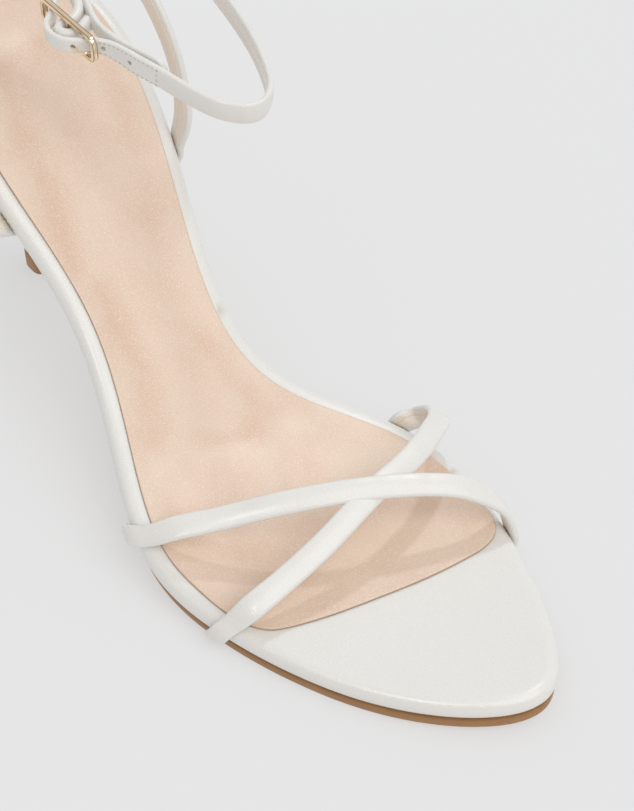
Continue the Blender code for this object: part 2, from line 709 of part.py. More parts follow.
def adopt(name, material):
    """Name the active object, apply its placing and move it to the shoe's collection."""
    thing = bpy.context.object
    thing.name = name
    thing.data.name = name
    bpy.ops.object.transform_apply(location=True, rotation=True, scale=True)
    for home in list(thing.users_collection):
        home.objects.unlink(thing)
    SHOE.objects.link(thing)
    thing.data.materials.clear()
    thing.data.materials.append(material)
    return thing


def add_box(name, middle, size, material):
    """Box with its sizes applied."""
    bpy.ops.mesh.primitive_cube_add(size=1.0, location=place(*middle))
    bpy.context.object.scale = tuple(v * MM for v in size)
    return adopt(name, material)


def build_buckle():
    """Long buckle frame with an upright middle bar, and its pin."""
    gold = MATERIALS["pale_gold"]
    frame = add_box("buckle_frame", FRAME_MIDDLE, FRAME_SIZE, gold)
    hole = (FRAME_SIZE[0] - 2 * FRAME_WIRE, FRAME_SIZE[1] * 3, FRAME_SIZE[2] - 2 * FRAME_WIRE)
    join(frame, add_box("frame_window", FRAME_MIDDLE, hole, gold), "DIFFERENCE")
    bevel = frame.modifiers.new("round", "BEVEL")
    bevel.width = FRAME_ROUND * MM
    bevel.segments = 2
    bevel.limit_method = "ANGLE"
    bpy.ops.mesh.primitive_cylinder_add(
        vertices=16,
        radius=BAR_RADIUS * MM,
        depth=(FRAME_SIZE[2] - FRAME_WIRE) * MM,
        location=place(BAR_X, FRAME_MIDDLE[1], FRAME_MIDDLE[2]),
    )
    join(frame, adopt("frame_bar", gold), "UNION")
    new_object("buckle_prong", mesh_of("buckle_prong", tube_rings(PRONG, PRONG_RADIUS, 1.4, 0.15)), gold)


def make_material(name):
    """Plain material of one finish."""
    colour, metal, rough = COLOURS[name]
    material = bpy.data.materials.new(name)
    material.use_nodes = True
    surface = material.node_tree.nodes["Principled BSDF"]
    surface.inputs["Base Color"].default_value = (*colour, 1.0)
    surface.inputs["Metallic"].default_value = metal
    surface.inputs["Roughness"].default_value = rough
    return material


for leftover in list(bpy.data.objects):
    bpy.data.objects.remove(leftover, do_unlink=True)

SHOE = bpy.data.collections.new("strappy_sandal")
TOOLS = bpy.data.collections.new("cutters")
bpy.context.scene.collection.children.link(SHOE)
bpy.context.scene.collection.children.link(TOOLS)
MATERIALS = {name: make_material(name) for name in COLOURS}

build_outsole()
build_footbed()
build_sock()
build_heel()
build_vamp_straps()
build_heel_strap()
build_ankle_strap()
build_buckle()
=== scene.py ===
"""Dressed strappy sandal: leather, lining, thread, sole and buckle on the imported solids.

Sizes are millimetres in the shoe's own frame: x from the back of the heel to the toe, y to the inner
side of the right foot and z up from the floor. Meshes are made in metres in the part's frame.
"""

import logging
import math
from collections.abc import Sequence
from dataclasses import dataclass, field
from enum import Enum

import bmesh
import bpy
import numpy as np
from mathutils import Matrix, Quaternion, Vector


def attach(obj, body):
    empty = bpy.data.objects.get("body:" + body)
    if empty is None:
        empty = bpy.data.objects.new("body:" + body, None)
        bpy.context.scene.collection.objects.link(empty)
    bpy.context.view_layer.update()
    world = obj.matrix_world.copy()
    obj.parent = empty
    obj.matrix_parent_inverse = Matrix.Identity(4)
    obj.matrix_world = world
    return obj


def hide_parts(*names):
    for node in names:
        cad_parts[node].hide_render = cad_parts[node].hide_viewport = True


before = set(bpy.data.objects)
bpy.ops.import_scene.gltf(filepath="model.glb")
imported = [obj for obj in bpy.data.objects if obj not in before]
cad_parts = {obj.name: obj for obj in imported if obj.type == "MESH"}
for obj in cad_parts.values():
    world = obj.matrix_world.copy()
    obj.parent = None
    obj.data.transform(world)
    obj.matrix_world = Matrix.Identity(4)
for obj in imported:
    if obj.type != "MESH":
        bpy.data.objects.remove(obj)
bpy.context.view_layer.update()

Array = np.ndarray
Mesh = bpy.types.Mesh
Material = bpy.types.Material
Colour = tuple[float, float, float]
Range = tuple[float, float]
Triple = tuple[float, float, float]
Table = tuple[tuple[float, ...], ...]

MM = 0.001
ORIGIN = np.array([115.119, -0.475, 0.0])
UP = np.array([0.0, 0.0, 1.0])
SIDEWAYS = np.array([0.0, 1.0, 0.0])

# Thickness of the footbed, radius of its half-round edge, clearance between neighbouring pieces.
BOARD_THICK = 5.9
EDGE_RADIUS = BOARD_THICK / 2
GAP = 0.3
# Angle in degrees past which an edge stays sharp, and the distances in metres that are cleaned away.
SHARP = 42.0
MERGE_DISTANCE = 2e-6
THIN_DISTANCE = 1e-7
# What the noise textures give on average.
NOISE_MIDDLE = 0.5

log = logging.getLogger("sandal")


class Body(Enum):
    """The bodies that pieces ride on."""

    SHOE = "root"


class Slot(Enum):
    """Material slots of the record."""

    WHITE = "white_leather"
    BLUSH = "blush_lining"
    TAN = "tan_sole"
    GOLD = "pale_gold"


class Side(Enum):
    """Sides of the foot, as columns of the outline."""

    OUTER = 0
    INNER = 1


def column(table: Table, index: int) -> Array:
    """One column of a table.

    Args:
        table: Rows of numbers.
        index: Which number of each row.

    Returns:
        The column as an array.
    """
    return np.array([row[index] for row in table], dtype=float)


def unit(vectors: Array) -> Array:
    """Rows of vectors brought to length one."""
    return vectors / np.linalg.norm(vectors, axis=-1, keepdims=True)


def run_length(points: Array) -> Array:
    """Distance along a line of points, from its first point."""
    steps = np.linalg.norm(np.diff(points, axis=0), axis=1)
    return np.concatenate([[0.0], np.cumsum(steps)])


def to_part(points: Array) -> Array:
    """Points in the shoe's millimetres as metres in the part's frame."""
    return (np.asarray(points, dtype=float) - ORIGIN) * MM


class Spline:
    """Natural cubic through knots, for one column of values or several."""

    def __init__(self, knots: Sequence[float], values: Sequence) -> None:
        """Solve for the bends at the knots.

        Args:
            knots: Rising positions.
            values: One value, or one row of values, for each knot.
        """
        self.knots = np.asarray(knots, dtype=float)
        table = np.asarray(values, dtype=float)
        self.single = table.ndim == 1
        self.values = table.reshape(len(self.knots), -1)
        self.step = np.diff(self.knots)
        count = len(self.knots)
        slope = np.diff(self.values, axis=0) / self.step[:, None]
        left = np.eye(count)
        right = np.zeros_like(self.values)
        for i in range(1, count - 1):
            left[i, i - 1] = self.step[i - 1]
            left[i, i] = 2 * (self.step[i - 1] + self.step[i])
            left[i, i + 1] = self.step[i]
            right[i] = 6 * (slope[i] - slope[i - 1])
        self.bend = np.linalg.solve(left, right)

    def __call__(self, at: Array | float) -> Array:
        """Values at one position or many.

        Args:
            at: Positions, held to the range of the knots.

        Returns:
            One value or row for each position.
        """
        at = np.clip(np.atleast_1d(np.asarray(at, dtype=float)), self.knots[0], self.knots[-1])
        i = np.clip(np.searchsorted(self.knots, at) - 1, 0, len(self.knots) - 2)
        step = self.step[i]
        a = ((self.knots[i + 1] - at) / step)[:, None]
        b = ((at - self.knots[i]) / step)[:, None]
        size = (step**2 / 6)[:, None]
        cubic = ((a**3 - a) * self.bend[i] + (b**3 - b) * self.bend[i + 1]) * size
        found = a * self.values[i] + b * self.values[i + 1] + cubic
        return found[:, 0] if self.single else found


@dataclass
class Last:
    """The form that the shoe is built on: its outline, its side profile and the dish of its seat."""

    length: float = 230.2
    seat_inset: float = 4.2
    slope_span: float = 0.002
    # Share of the length, outer edge, inner edge.
    outline: Table = (
        (0.00, 0.1, 0.1),
        (0.02, -11.2, 11.7),
        (0.07, -20.7, 21.3),
        (0.16, -28.0, 26.2),
        (0.28, -28.6, 22.6),
        (0.40, -26.9, 14.4),
        (0.52, -35.4, 15.6),
        (0.63, -42.4, 34.6),
        (0.72, -39.3, 39.8),
        (0.80, -33.1, 36.8),
        (0.88, -23.9, 31.0),
        (0.95, -11.6, 22.8),
        (0.985, -2.0, 16.2),
        (1.00, 8.2, 8.2),
    )
    # Share of the length, height of the footbed's top edge, dip in the middle of its width.
    profile: Table = (
        (0.00, 90.7, 1.6),
        (0.10, 86.7, 2.2),
        (0.20, 75.7, 2.0),
        (0.30, 59.3, 1.4),
        (0.40, 40.8, 0.9),
        (0.50, 25.4, 0.5),
        (0.60, 14.9, 0.2),
        (0.68, 9.7, 0.1),
        (0.74, 8.6, 0.0),
        (0.80, 8.5, 0.0),
        (0.86, 8.6, 0.0),
        (0.92, 9.4, 0.0),
        (1.00, 11.4, 0.0),
    )

    def __post_init__(self) -> None:
        """Lay splines through the tables."""
        turns = self.turn(column(self.outline, 0) * self.length)
        self.sides = Spline(turns, [row[1:] for row in self.outline])
        self.height = Spline(column(self.profile, 0), column(self.profile, 1))
        self.depth = Spline(column(self.profile, 0), column(self.profile, 2))

    def turn(self, x: Array | float) -> Array:
        """Angle that makes both ends of the outline round when a spline runs over it."""
        return np.arccos(1 - 2 * np.clip(np.asarray(x) / self.length, 0, 1))

    def edges(self, x: Array | float) -> Array:
        """Outer and inner edge at distances from the heel, one row for each."""
        return self.sides(self.turn(np.atleast_1d(x)))

    def slopes(self, x: Array | float) -> tuple[Array, Array, Array]:
        """Side profile at distances from the heel.

        Args:
            x: Distances from the back of the heel.

        Returns:
            Heights, forward directions and normals.
        """
        share = np.clip(np.atleast_1d(x) / self.length, 0, 1)
        ahead = np.minimum(share + self.slope_span, 1)
        behind = np.maximum(share - self.slope_span, 0)
        rise = (self.height(ahead) - self.height(behind)) / ((ahead - behind) * self.length)
        size = np.hypot(1, rise)
        none = np.zeros_like(rise)
        forward = np.stack([1 / size, none, rise / size], axis=1)
        normal = np.stack([-rise / size, none, 1 / size], axis=1)
        return self.height(share), forward, normal

    def place(self, flat: Array, lift: Array | float) -> Array:
        """Points above the footbed's top edge, measured square to the profile.

        Args:
            flat: Rows of x and y.
            lift: Distance above the top edge, for all or for each.

        Returns:
            Rows of x, y and z.
        """
        height, _, normal = self.slopes(flat[:, 0])
        lift = np.broadcast_to(np.asarray(lift, dtype=float), (len(flat),))
        return np.column_stack([flat, height]) + normal * lift[:, None]

    def dip(self, flat: Array) -> Array:
        """How far the dished middle of the seat lies below its edge.

        Args:
            flat: Rows of x and y.

        Returns:
            One depth for each row.
        """
        edge = self.edges(flat[:, 0])
        half = np.maximum((edge[:, 1] - edge[:, 0]) / 2 - self.seat_inset, 1.0)
        across = np.minimum(np.abs(flat[:, 1] - edge.mean(axis=1)) / half, 1.0)
        return self.depth(flat[:, 0] / self.length) * (1 - across**2)

    def ring(self, steps: int, start: float = 0.0) -> Array:
        """Closed outline: the outer side forwards, then the inner side back.

        Args:
            steps: Steps along each side.
            start: Distance from the heel where the outline begins.

        Returns:
            Rows of x and y.
        """
        turns = np.linspace(float(self.turn(start)), math.pi, steps + 1)
        x = (1 - np.cos(turns)) / 2 * self.length
        sides = self.sides(turns)
        outer = np.column_stack([x, sides[:, 0]])
        inner = np.column_stack([x, sides[:, 1]])[:-1]
        if start <= 0.0:
            inner = inner[1:]
        return np.concatenate([outer, inner[::-1]])


def inset(ring: Array, distance: Array | float) -> Array:
    """Closed outline moved inwards.

    Args:
        ring: Rows of x and y with the inside on the left.
        distance: One distance, or one for each point.

    Returns:
        The moved outline.
    """
    chord = unit(np.roll(ring, -1, axis=0) - np.roll(ring, 1, axis=0))
    inward = np.column_stack([-chord[:, 1], chord[:, 0]])
    distance = np.broadcast_to(np.asarray(distance, dtype=float), (len(ring),))
    return ring + inward * distance[:, None]


def toward_spine(ring: Array, share: float, hold: int, square_rear: bool) -> Array:
    """Outline shrunk towards the line midway between its two sides.

    Args:
        ring: Rows of x and y, the outer side first.
        share: 0 at the outline and 1 on the middle line.
        hold: Points at either end that go to one spot.
        square_rear: Whether the rear end is cut straight.

    Returns:
        The shrunk outline.
    """
    count = len(ring)
    index = np.arange(count)
    other = count - 1 - index if square_rear else (count - index) % count
    pair = np.clip(np.minimum(index, other), hold, count // 2 - hold)
    across = count - 1 - pair if square_rear else count - pair
    middle = (ring[pair] + ring[across]) / 2
    return ring + (middle - ring) * share


def resample(points: Array, count: int) -> Array:
    """A smooth line through points, spread evenly by length.

    Args:
        points: Rows of x and y.
        count: How many points to give.

    Returns:
        The new rows.
    """
    reach = run_length(points)
    return Spline(reach, points)(np.linspace(0.0, reach[-1], count))


def link_new(name: str, data: bpy.types.ID) -> bpy.types.Object:
    """Put a new object in the scene.

    Args:
        name: Name of the object.
        data: What it holds.

    Returns:
        The object.
    """
    made = bpy.data.objects.new(name, data)
    bpy.context.scene.collection.objects.link(made)
    return made


def finish_mesh(mesh: Mesh, sharp: float = SHARP) -> Mesh:
    """Merge doubled points, turn the faces outwards and shade smooth.

    Args:
        mesh: Mesh in metres, changed in place.
        sharp: Angle in degrees past which an edge stays sharp.

    Returns:
        The same mesh.
    """
    work = bmesh.new()
    work.from_mesh(mesh)
    bmesh.ops.remove_doubles(work, verts=work.verts, dist=MERGE_DISTANCE)
    bmesh.ops.dissolve_degenerate(work, edges=work.edges, dist=THIN_DISTANCE)
    bmesh.ops.recalc_face_normals(work, faces=work.faces)
    work.to_mesh(mesh)
    work.free()
    mesh.polygons.foreach_set("use_smooth", [True] * len(mesh.polygons))
    mesh.set_sharp_from_angle(angle=math.radians(sharp))
    return mesh


def set_values(mesh: Mesh, name: str, values: Array) -> None:
    """Store a number or a vector for each point of a mesh.

    Args:
        mesh: The mesh.
        name: Name of the attribute.
        values: One number or one row of three for each point.
    """
    vector = np.ndim(values) == 2
    made = mesh.attributes.new(name, "FLOAT_VECTOR" if vector else "FLOAT", "POINT")
    made.data.foreach_set("vector" if vector else "value", np.ravel(values).astype(np.float32))


def line_mesh(name: str, points: Array, closed: bool = False) -> Mesh:
    """Chain of edges through points.

    Args:
        name: Name of the mesh.
        points: Rows of x, y and z in metres.
        closed: Whether the last point joins the first.

    Returns:
        A mesh without faces.
    """
    count = len(points)
    edges = [(i, i + 1) for i in range(count - 1)]
    if closed:
        edges.append((count - 1, 0))
    mesh = bpy.data.meshes.new(name)
    mesh.from_pydata([tuple(p) for p in points], edges, [])
    return mesh


@dataclass
class Loft:
    """Rings of points joined into one closed mesh, with named values at every point."""

    name: str
    rings: list[Array] = field(default_factory=list)
    values: dict[str, list[Array]] = field(default_factory=dict)

    def add(self, points: Array, **values: Array | float) -> None:
        """Add a ring.

        Args:
            points: Rows of x, y and z in the shoe's millimetres.
            values: Under each name, a value for the ring or for each of its points.
        """
        self.rings.append(np.asarray(points, dtype=float))
        for name, value in values.items():
            spread = np.broadcast_to(np.asarray(value, dtype=float), (len(points),))
            self.values.setdefault(name, []).append(spread)

    def mesh(self, caps: bool = False, sharp: float = SHARP) -> Mesh:
        """Join the rings.

        Args:
            caps: Whether the first and last ring are filled.
            sharp: Angle in degrees past which an edge stays sharp.

        Returns:
            The finished mesh in metres.
        """
        count = len(self.rings[0])
        faces = []
        for k in range(len(self.rings) - 1):
            low, high = k * count, (k + 1) * count
            for i in range(count):
                j = (i + 1) % count
                faces.append((low + i, low + j, high + j, high + i))
        if caps:
            faces.append(tuple(range(count))[::-1])
            faces.append(tuple(range((len(self.rings) - 1) * count, len(self.rings) * count)))
        mesh = bpy.data.meshes.new(self.name)
        mesh.from_pydata([tuple(p) for p in to_part(np.concatenate(self.rings))], [], faces)
        for name, rows in self.values.items():
            set_values(mesh, name, np.concatenate(rows))
        return finish_mesh(mesh, sharp)


def add_piece(name: str, mesh: Mesh, material: Material, slot: Slot, *nodes: str) -> None:
    """Put a finished mesh on the shoe.

    Args:
        name: Name of the piece.
        mesh: Its mesh in metres, in place.
        material: Its finish.
        slot: The record's material slot; not used.
        nodes: Solids that it stands for.
    """
    piece = link_new(name, mesh)
    mesh.materials.clear()
    mesh.materials.append(material)
    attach(piece, Body.SHOE.value)
    if nodes:
        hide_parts(*nodes)
    log.info("%s: %d faces, stands for %s", name, len(mesh.polygons), ", ".join(nodes) or "no solid")


class Wire:
    """An output of a node tree that takes part in Python sums."""

    def __init__(self, graph: "Graph", socket: bpy.types.NodeSocket) -> None:
        """Keep the socket and the graph that it belongs to."""
        self.graph = graph
        self.socket = socket

    @property
    def is_vector(self) -> bool:
        """Whether the socket carries a vector or a colour."""
        return self.socket.type in {"VECTOR", "RGBA"}

    def combine(self, operation: str, first: "Wire | float", second: "Wire | float") -> "Wire":
        """One sum of numbers or vectors.

        Args:
            operation: Name of the operation.
            first: Left side.
            second: Right side.

        Returns:
            The result's socket.
        """
        vectors = [isinstance(side, Wire) and side.is_vector for side in (first, second)]
        if not any(vectors):
            return self.graph.node("ShaderNodeMath", {"operation": operation}, {0: first, 1: second})
        if operation == "MULTIPLY" and not all(vectors):
            vector, scale = (first, second) if vectors[0] else (second, first)
            sockets = {0: vector, "Scale": scale}
            return self.graph.node("ShaderNodeVectorMath", {"operation": "SCALE"}, sockets)
        return self.graph.node("ShaderNodeVectorMath", {"operation": operation}, {0: first, 1: second})

    def __add__(self, other: "Wire | float") -> "Wire":
        """Sum."""
        return self.combine("ADD", self, other)

    def __radd__(self, other: "Wire | float") -> "Wire":
        """Sum, the other way round."""
        return self.combine("ADD", other, self)

    def __sub__(self, other: "Wire | float") -> "Wire":
        """Difference."""
        return self.combine("SUBTRACT", self, other)

    def __rsub__(self, other: "Wire | float") -> "Wire":
        """Difference, the other way round."""
        return self.combine("SUBTRACT", other, self)

    def __mul__(self, other: "Wire | float") -> "Wire":
        """Product."""
        return self.combine("MULTIPLY", self, other)

    def steps(self, low: float, high: float) -> "Wire":
        """Smooth rise from 0 to 1.

        Args:
            low: Value where the rise starts.
            high: Value where it ends.

        Returns:
            The risen value.
        """
        return self.graph.node(
            "ShaderNodeMapRange",
            {"interpolation_type": "SMOOTHSTEP"},
            {"Value": self, "From Min": low, "From Max": high},
        )


class Graph:
    """A node tree that is written as nodes and sums."""

    def __init__(self, tree: bpy.types.NodeTree) -> None:
        """Start on an empty tree."""
        self.tree = tree

    def node(
        self,
        kind: str,
        settings: dict | None = None,
        sockets: dict | None = None,
        out: int | str = 0,
    ) -> Wire:
        """Add a node.

        Args:
            kind: The node's type.
            settings: Its own settings, set first.
            sockets: Values or wires for its inputs.
            out: Which output to give back.

        Returns:
            That output.
        """
        made = self.tree.nodes.new(kind)
        for name, value in (settings or {}).items():
            setattr(made, name, value)
        for name, value in (sockets or {}).items():
            if isinstance(value, Wire):
                self.tree.links.new(value.socket, made.inputs[name])
            else:
                made.inputs[name].default_value = value
        return Wire(self, made.outputs[out])


class Surface(Graph):
    """The shader of one finish."""

    def __init__(self, name: str) -> None:
        """Make a material with a plain shader.

        Args:
            name: Name of the material.
        """
        self.made = bpy.data.materials.new(name)
        self.made.use_nodes = True
        super().__init__(self.made.node_tree)
        self.shader = self.tree.nodes["Principled BSDF"]

    def place(self) -> Wire:
        """Coordinates of the piece in metres."""
        return self.node("ShaderNodeTexCoord", out="Object")

    def value(self, name: str) -> Wire:
        """A number stored on the piece's points."""
        return self.node("ShaderNodeAttribute", {"attribute_name": name}, out="Fac")

    def noise(self, place: Wire, size: float, detail: float) -> Wire:
        """Soft noise.

        Args:
            place: Coordinates in metres.
            size: Size of its features in millimetres.
            detail: How many finer layers it has.

        Returns:
            A number from 0 to 1.
        """
        sockets = {"Vector": place, "Scale": 1 / (size * MM), "Detail": detail}
        return self.node("ShaderNodeTexNoise", {}, sockets)

    def stretched(self, place: Wire, scale: Triple) -> Wire:
        """Coordinates scaled along each axis, so that noise over them runs in streaks."""
        return self.node("ShaderNodeMapping", {}, {"Vector": place, "Scale": scale})

    def pebbles(self, place: Wire, size: float, smooth: float) -> Wire:
        """Distance from the middle of rounded cells.

        Args:
            place: Coordinates in metres.
            size: Size of the cells in millimetres.
            smooth: How soft their borders are.

        Returns:
            The distance as a share of the cell's size.
        """
        sockets = {"Vector": place, "Scale": 1 / (size * MM), "Smoothness": smooth}
        return self.node("ShaderNodeTexVoronoi", {"feature": "SMOOTH_F1"}, sockets)

    def mix(self, share: Wire | float, first: Wire | Colour, second: Wire | Colour) -> Wire:
        """Blend of two colours.

        Args:
            share: 0 for the first and 1 for the second.
            first: A colour.
            second: A colour.

        Returns:
            The blended colour.
        """
        first, second = (c if isinstance(c, Wire) else (*c, 1.0) for c in (first, second))
        return self.node("ShaderNodeMix", {"data_type": "RGBA"}, {0: share, 6: first, 7: second}, 2)

    def feed(self, name: str, value: Wire | float | Colour) -> None:
        """Set or link an input of the shader.

        Args:
            name: Name of the input.
            value: A wire to link, or a number or colour to set.
        """
        socket = self.shader.inputs[name]
        if isinstance(value, Wire):
            self.tree.links.new(value.socket, socket)
        else:
            socket.default_value = (*value, 1.0) if isinstance(value, tuple) else value

    def bump(self, height: Wire, depth: float) -> None:
        """Raise the surface.

        Args:
            height: A height from 0 to 1.
            depth: What a height of 1 stands for, in millimetres.
        """
        sockets = {"Strength": 1.0, "Distance": depth * MM, "Height": height}
        self.feed("Normal", self.node("ShaderNodeBump", {}, sockets))


@dataclass(frozen=True)
class LeatherFinish:
    """Grained leather, with the colour of its reverse or lining and of its cut edge, painted shade in
    troughs and creases, and painted glints.
    """

    name: str
    face: Colour
    # Darker colour: random clouds, and painted shade in the sock's troughs.
    shade: Colour
    lining: Colour
    cut: Colour
    grain: float
    depth: float
    roughness: float
    coat: float
    # Lighter colour of the painted glints on the grain, and how much of it shows.
    painted_glint: Colour
    painted_glint_share: float
    coat_roughness: float = 0.22
    # Sizes of the clouds and pores, their layers, and how soft the cells of the grain are.
    mottle: float = 14.0
    pore: float = 0.3
    detail: float = 3.0
    cell_smooth: float = 0.5
    # Noise over which the clouds and the painted glints come in, and how much the clouds and the painted
    # shade of the dents darken the colour.
    cloud_range: Range = (0.3, 0.7)
    painted_glint_range: Range = (0.5, 0.68)
    cloud_share: float = 0.5
    painted_dent_shade_share: float = 0.7
    # How much the pores, the lining and the cut edge change the roughness.
    pore_rough: float = 0.3
    lining_rough: float = 0.15
    cut_rough: float = 0.2
    # Share of the cells in the relief, the rest being pores.
    cell_share: float = 0.75

    def material(self) -> Material:
        """Build the shader.

        Returns:
            The material.
        """
        skin = Surface(self.name)
        place = skin.place()
        cells = skin.pebbles(place, self.grain, self.cell_smooth)
        pores = skin.noise(place, self.pore, self.detail)
        clouds = skin.noise(place, self.mottle, self.detail)
        lining = skin.value("lining")
        dent = skin.value("dent")
        cut = skin.value("cut")
        # The clouds vary the tone at random; the dents paint shade into the troughs.
        mottle_and_trough_shade = clouds.steps(*self.cloud_range) * self.cloud_share + dent * self.painted_dent_shade_share
        # Painted glints: lighter specks where the fine pore noise is high.
        painted_glints = pores.steps(*self.painted_glint_range) * self.painted_glint_share
        colour = skin.mix(mottle_and_trough_shade, self.face, self.shade)
        colour = skin.mix(painted_glints, colour, self.painted_glint)
        colour = skin.mix(lining, colour, self.lining)
        colour = skin.mix(cut, colour, self.cut)
        skin.feed("Base Color", colour)
        rough = self.roughness + (pores - NOISE_MIDDLE) * self.pore_rough
        skin.feed("Roughness", rough + lining * self.lining_rough + cut * self.cut_rough)
        skin.feed("Coat Weight", self.coat)
        skin.feed("Coat Roughness", self.coat_roughness)
        skin.bump((1 - cells) * self.cell_share + pores * (1 - self.cell_share), self.depth)
        return skin.made


@dataclass(frozen=True)
class SoleFinish:
    """Tan sole stock: an edge that is darker at its corners, faint streaks along the shoe and fine pits.
    """

    name: str
    face: Colour
    streak: Colour
    roughness: float
    stretch: Triple = (0.06, 0.6, 1.0)
    streak_size: float = 1.1
    streak_detail: float = 4.0
    streak_range: Range = (0.3, 0.75)
    pit_size: float = 0.35
    pit_detail: float = 2.0
    pit_rough: float = 0.3
    # How much of the streaks' colour the edge takes at its darker corners.
    edge_share: float = 0.6
    # Share of the pits in the relief, the rest being streaks, and its depth.
    pit_share: float = 0.6
    depth: float = 0.03

    def material(self) -> Material:
        """Build the shader.

        Returns:
            The material.
        """
        stock = Surface(self.name)
        place = stock.place()
        streaks = stock.noise(stock.stretched(place, self.stretch), self.streak_size, self.streak_detail)
        pits = stock.noise(place, self.pit_size, self.pit_detail)
        edge = stock.value("cut")
        colour = stock.mix(streaks.steps(*self.streak_range), self.face, self.streak)
        colour = stock.mix(edge * self.edge_share, colour, self.streak)
        stock.feed("Base Color", colour)
        stock.feed("Roughness", self.roughness + (pits - NOISE_MIDDLE) * self.pit_rough)
        stock.bump(pits * self.pit_share + streaks * (1 - self.pit_share), self.depth)
        return stock.made


@dataclass(frozen=True)
class MetalFinish:
    """Plated metal with painted dark reflections in streaks and in lines along the frame, and a faint
    brushed unevenness.
    """

    name: str
    face: Colour
    shade: Colour
    roughness: float
    # Across the piece, where its middle plane is and how far from it the painted dark reflection lines
    # run.
    middle: float
    dark_reflection_lines: Range
    # Distances over which the painted reflection lines fade in and out, and how dark they are.
    fade: Range = (0.12, 0.06)
    reflection_line_share: float = 0.8
    # Long streaks of painted dark reflection, which also vary the roughness.
    stretch: Triple = (0.1, 1.0, 0.25)
    reflection_streak_size: float = 0.8
    reflection_streak_detail: float = 1.0
    reflection_streak_range: Range = (0.5, 0.64)
    reflection_streak_share: float = 0.35
    reflection_streak_rough: float = 0.12
    # Fine unevenness and its depth.
    fine_size: float = 0.12
    fine_detail: float = 2.0
    fine_rough: float = 0.1
    depth: float = 0.004

    def material(self) -> Material:
        """Build the shader.

        Returns:
            The material.
        """
        plate = Surface(self.name)
        place = plate.place()
        across = plate.node("ShaderNodeSeparateXYZ", {}, {"Vector": place}, "Y") - self.middle * MM
        away = plate.node("ShaderNodeMath", {"operation": "ABSOLUTE"}, {0: across})
        (near, far), (fade_in, fade_out) = self.dark_reflection_lines, self.fade
        # Painted dark reflections in two lines either side of the frame's middle plane.
        line = away.steps((near - fade_in) * MM, near * MM) - away.steps(far * MM, (far + fade_out) * MM)
        reflection_streaks = plate.noise(plate.stretched(place, self.stretch), self.reflection_streak_size, self.reflection_streak_detail)
        fine = plate.noise(place, self.fine_size, self.fine_detail)
        # The streaks and the lines paint dark reflections into the gold.
        dark = reflection_streaks.steps(*self.reflection_streak_range) * self.reflection_streak_share + line * self.reflection_line_share
        rough = self.roughness + (reflection_streaks - NOISE_MIDDLE) * self.reflection_streak_rough
        plate.feed("Base Color", plate.mix(dark, self.face, self.shade))
        plate.feed("Metallic", 1.0)
        plate.feed("Roughness", rough + (fine - NOISE_MIDDLE) * self.fine_rough)
        plate.bump(fine, self.depth)
        return plate.made


@dataclass(frozen=True)
class ThreadFinish:
    """Twisted sewing thread."""

    name: str
    face: Colour
    shade: Colour
    roughness: float = 0.7
    twist_size: float = 0.16
    twist_detail: float = 2.0
    twist_range: Range = (0.3, 0.7)
    twist_rough: float = 0.2
    depth: float = 0.05

    def material(self) -> Material:
        """Build the shader.

        Returns:
            The material.
        """
        yarn = Surface(self.name)
        twist = yarn.noise(yarn.place(), self.twist_size, self.twist_detail)
        yarn.feed("Base Color", yarn.mix(twist.steps(*self.twist_range), self.face, self.shade))
        yarn.feed("Roughness", self.roughness + (twist - NOISE_MIDDLE) * self.twist_rough)
        yarn.bump(twist, self.depth)
        return yarn.made


class Recipe(Graph):
    """A geometry node tree with named inputs, run on a mesh to give a plain mesh."""

    def __init__(self, name: str) -> None:
        """Start a tree with one geometry in and one out.

        Args:
            name: Name of the tree.
        """
        tree = bpy.data.node_groups.new(name, "GeometryNodeTree")
        super().__init__(tree)
        self.known: dict[str, str] = {}
        self.entry = tree.nodes.new("NodeGroupInput")
        self.exit = tree.nodes.new("NodeGroupOutput")
        tree.interface.new_socket(name="Result", in_out="OUTPUT", socket_type="NodeSocketGeometry")
        self.source = self.input("Source", "NodeSocketGeometry")

    def input(self, name: str, kind: str) -> Wire:
        """Declare a named input.

        Args:
            name: Name of the input.
            kind: Type of its socket.

        Returns:
            Its wire.
        """
        made = self.tree.interface.new_socket(name=name, in_out="INPUT", socket_type=kind)
        self.known[name] = made.identifier
        return Wire(self, self.entry.outputs[name])

    def number(self, name: str) -> Wire:
        """Declare a size in metres."""
        return self.input(name, "NodeSocketFloat")

    def named(self, name: str, vector: bool = False) -> Wire:
        """A value stored on the points."""
        kind = "FLOAT_VECTOR" if vector else "FLOAT"
        return self.node("GeometryNodeInputNamedAttribute", {"data_type": kind}, {"Name": name})

    def close(self, geometry: Wire) -> None:
        """Realize what is left as instances, set the material and end the tree.

        Args:
            geometry: What the tree made.
        """
        real = self.node("GeometryNodeRealizeInstances", {}, {"Geometry": geometry})
        finish = self.input("Finish", "NodeSocketMaterial")
        dressed = self.node("GeometryNodeSetMaterial", {}, {"Geometry": real, "Material": finish})
        self.tree.links.new(dressed.socket, self.exit.inputs["Result"])

    def run(self, name: str, mesh: Mesh, **inputs: object) -> Mesh:
        """Run the tree.

        Args:
            name: Name of the new mesh.
            mesh: What goes in.
            inputs: A value for each named input, with _ for a space.

        Returns:
            The finished mesh.
        """
        carrier = link_new(name + "_source", mesh)
        modifier = carrier.modifiers.new("recipe", "NODES")
        modifier.node_group = self.tree
        for key, value in inputs.items():
            modifier[self.known[key.replace("_", " ")]] = value
        graph = bpy.context.evaluated_depsgraph_get()
        made = bpy.data.meshes.new_from_object(
            carrier.evaluated_get(graph), preserve_all_data_layers=True, depsgraph=graph
        )
        carrier.modifiers.remove(modifier)
        bpy.data.objects.remove(carrier, do_unlink=True)
        made.name = name
        return made


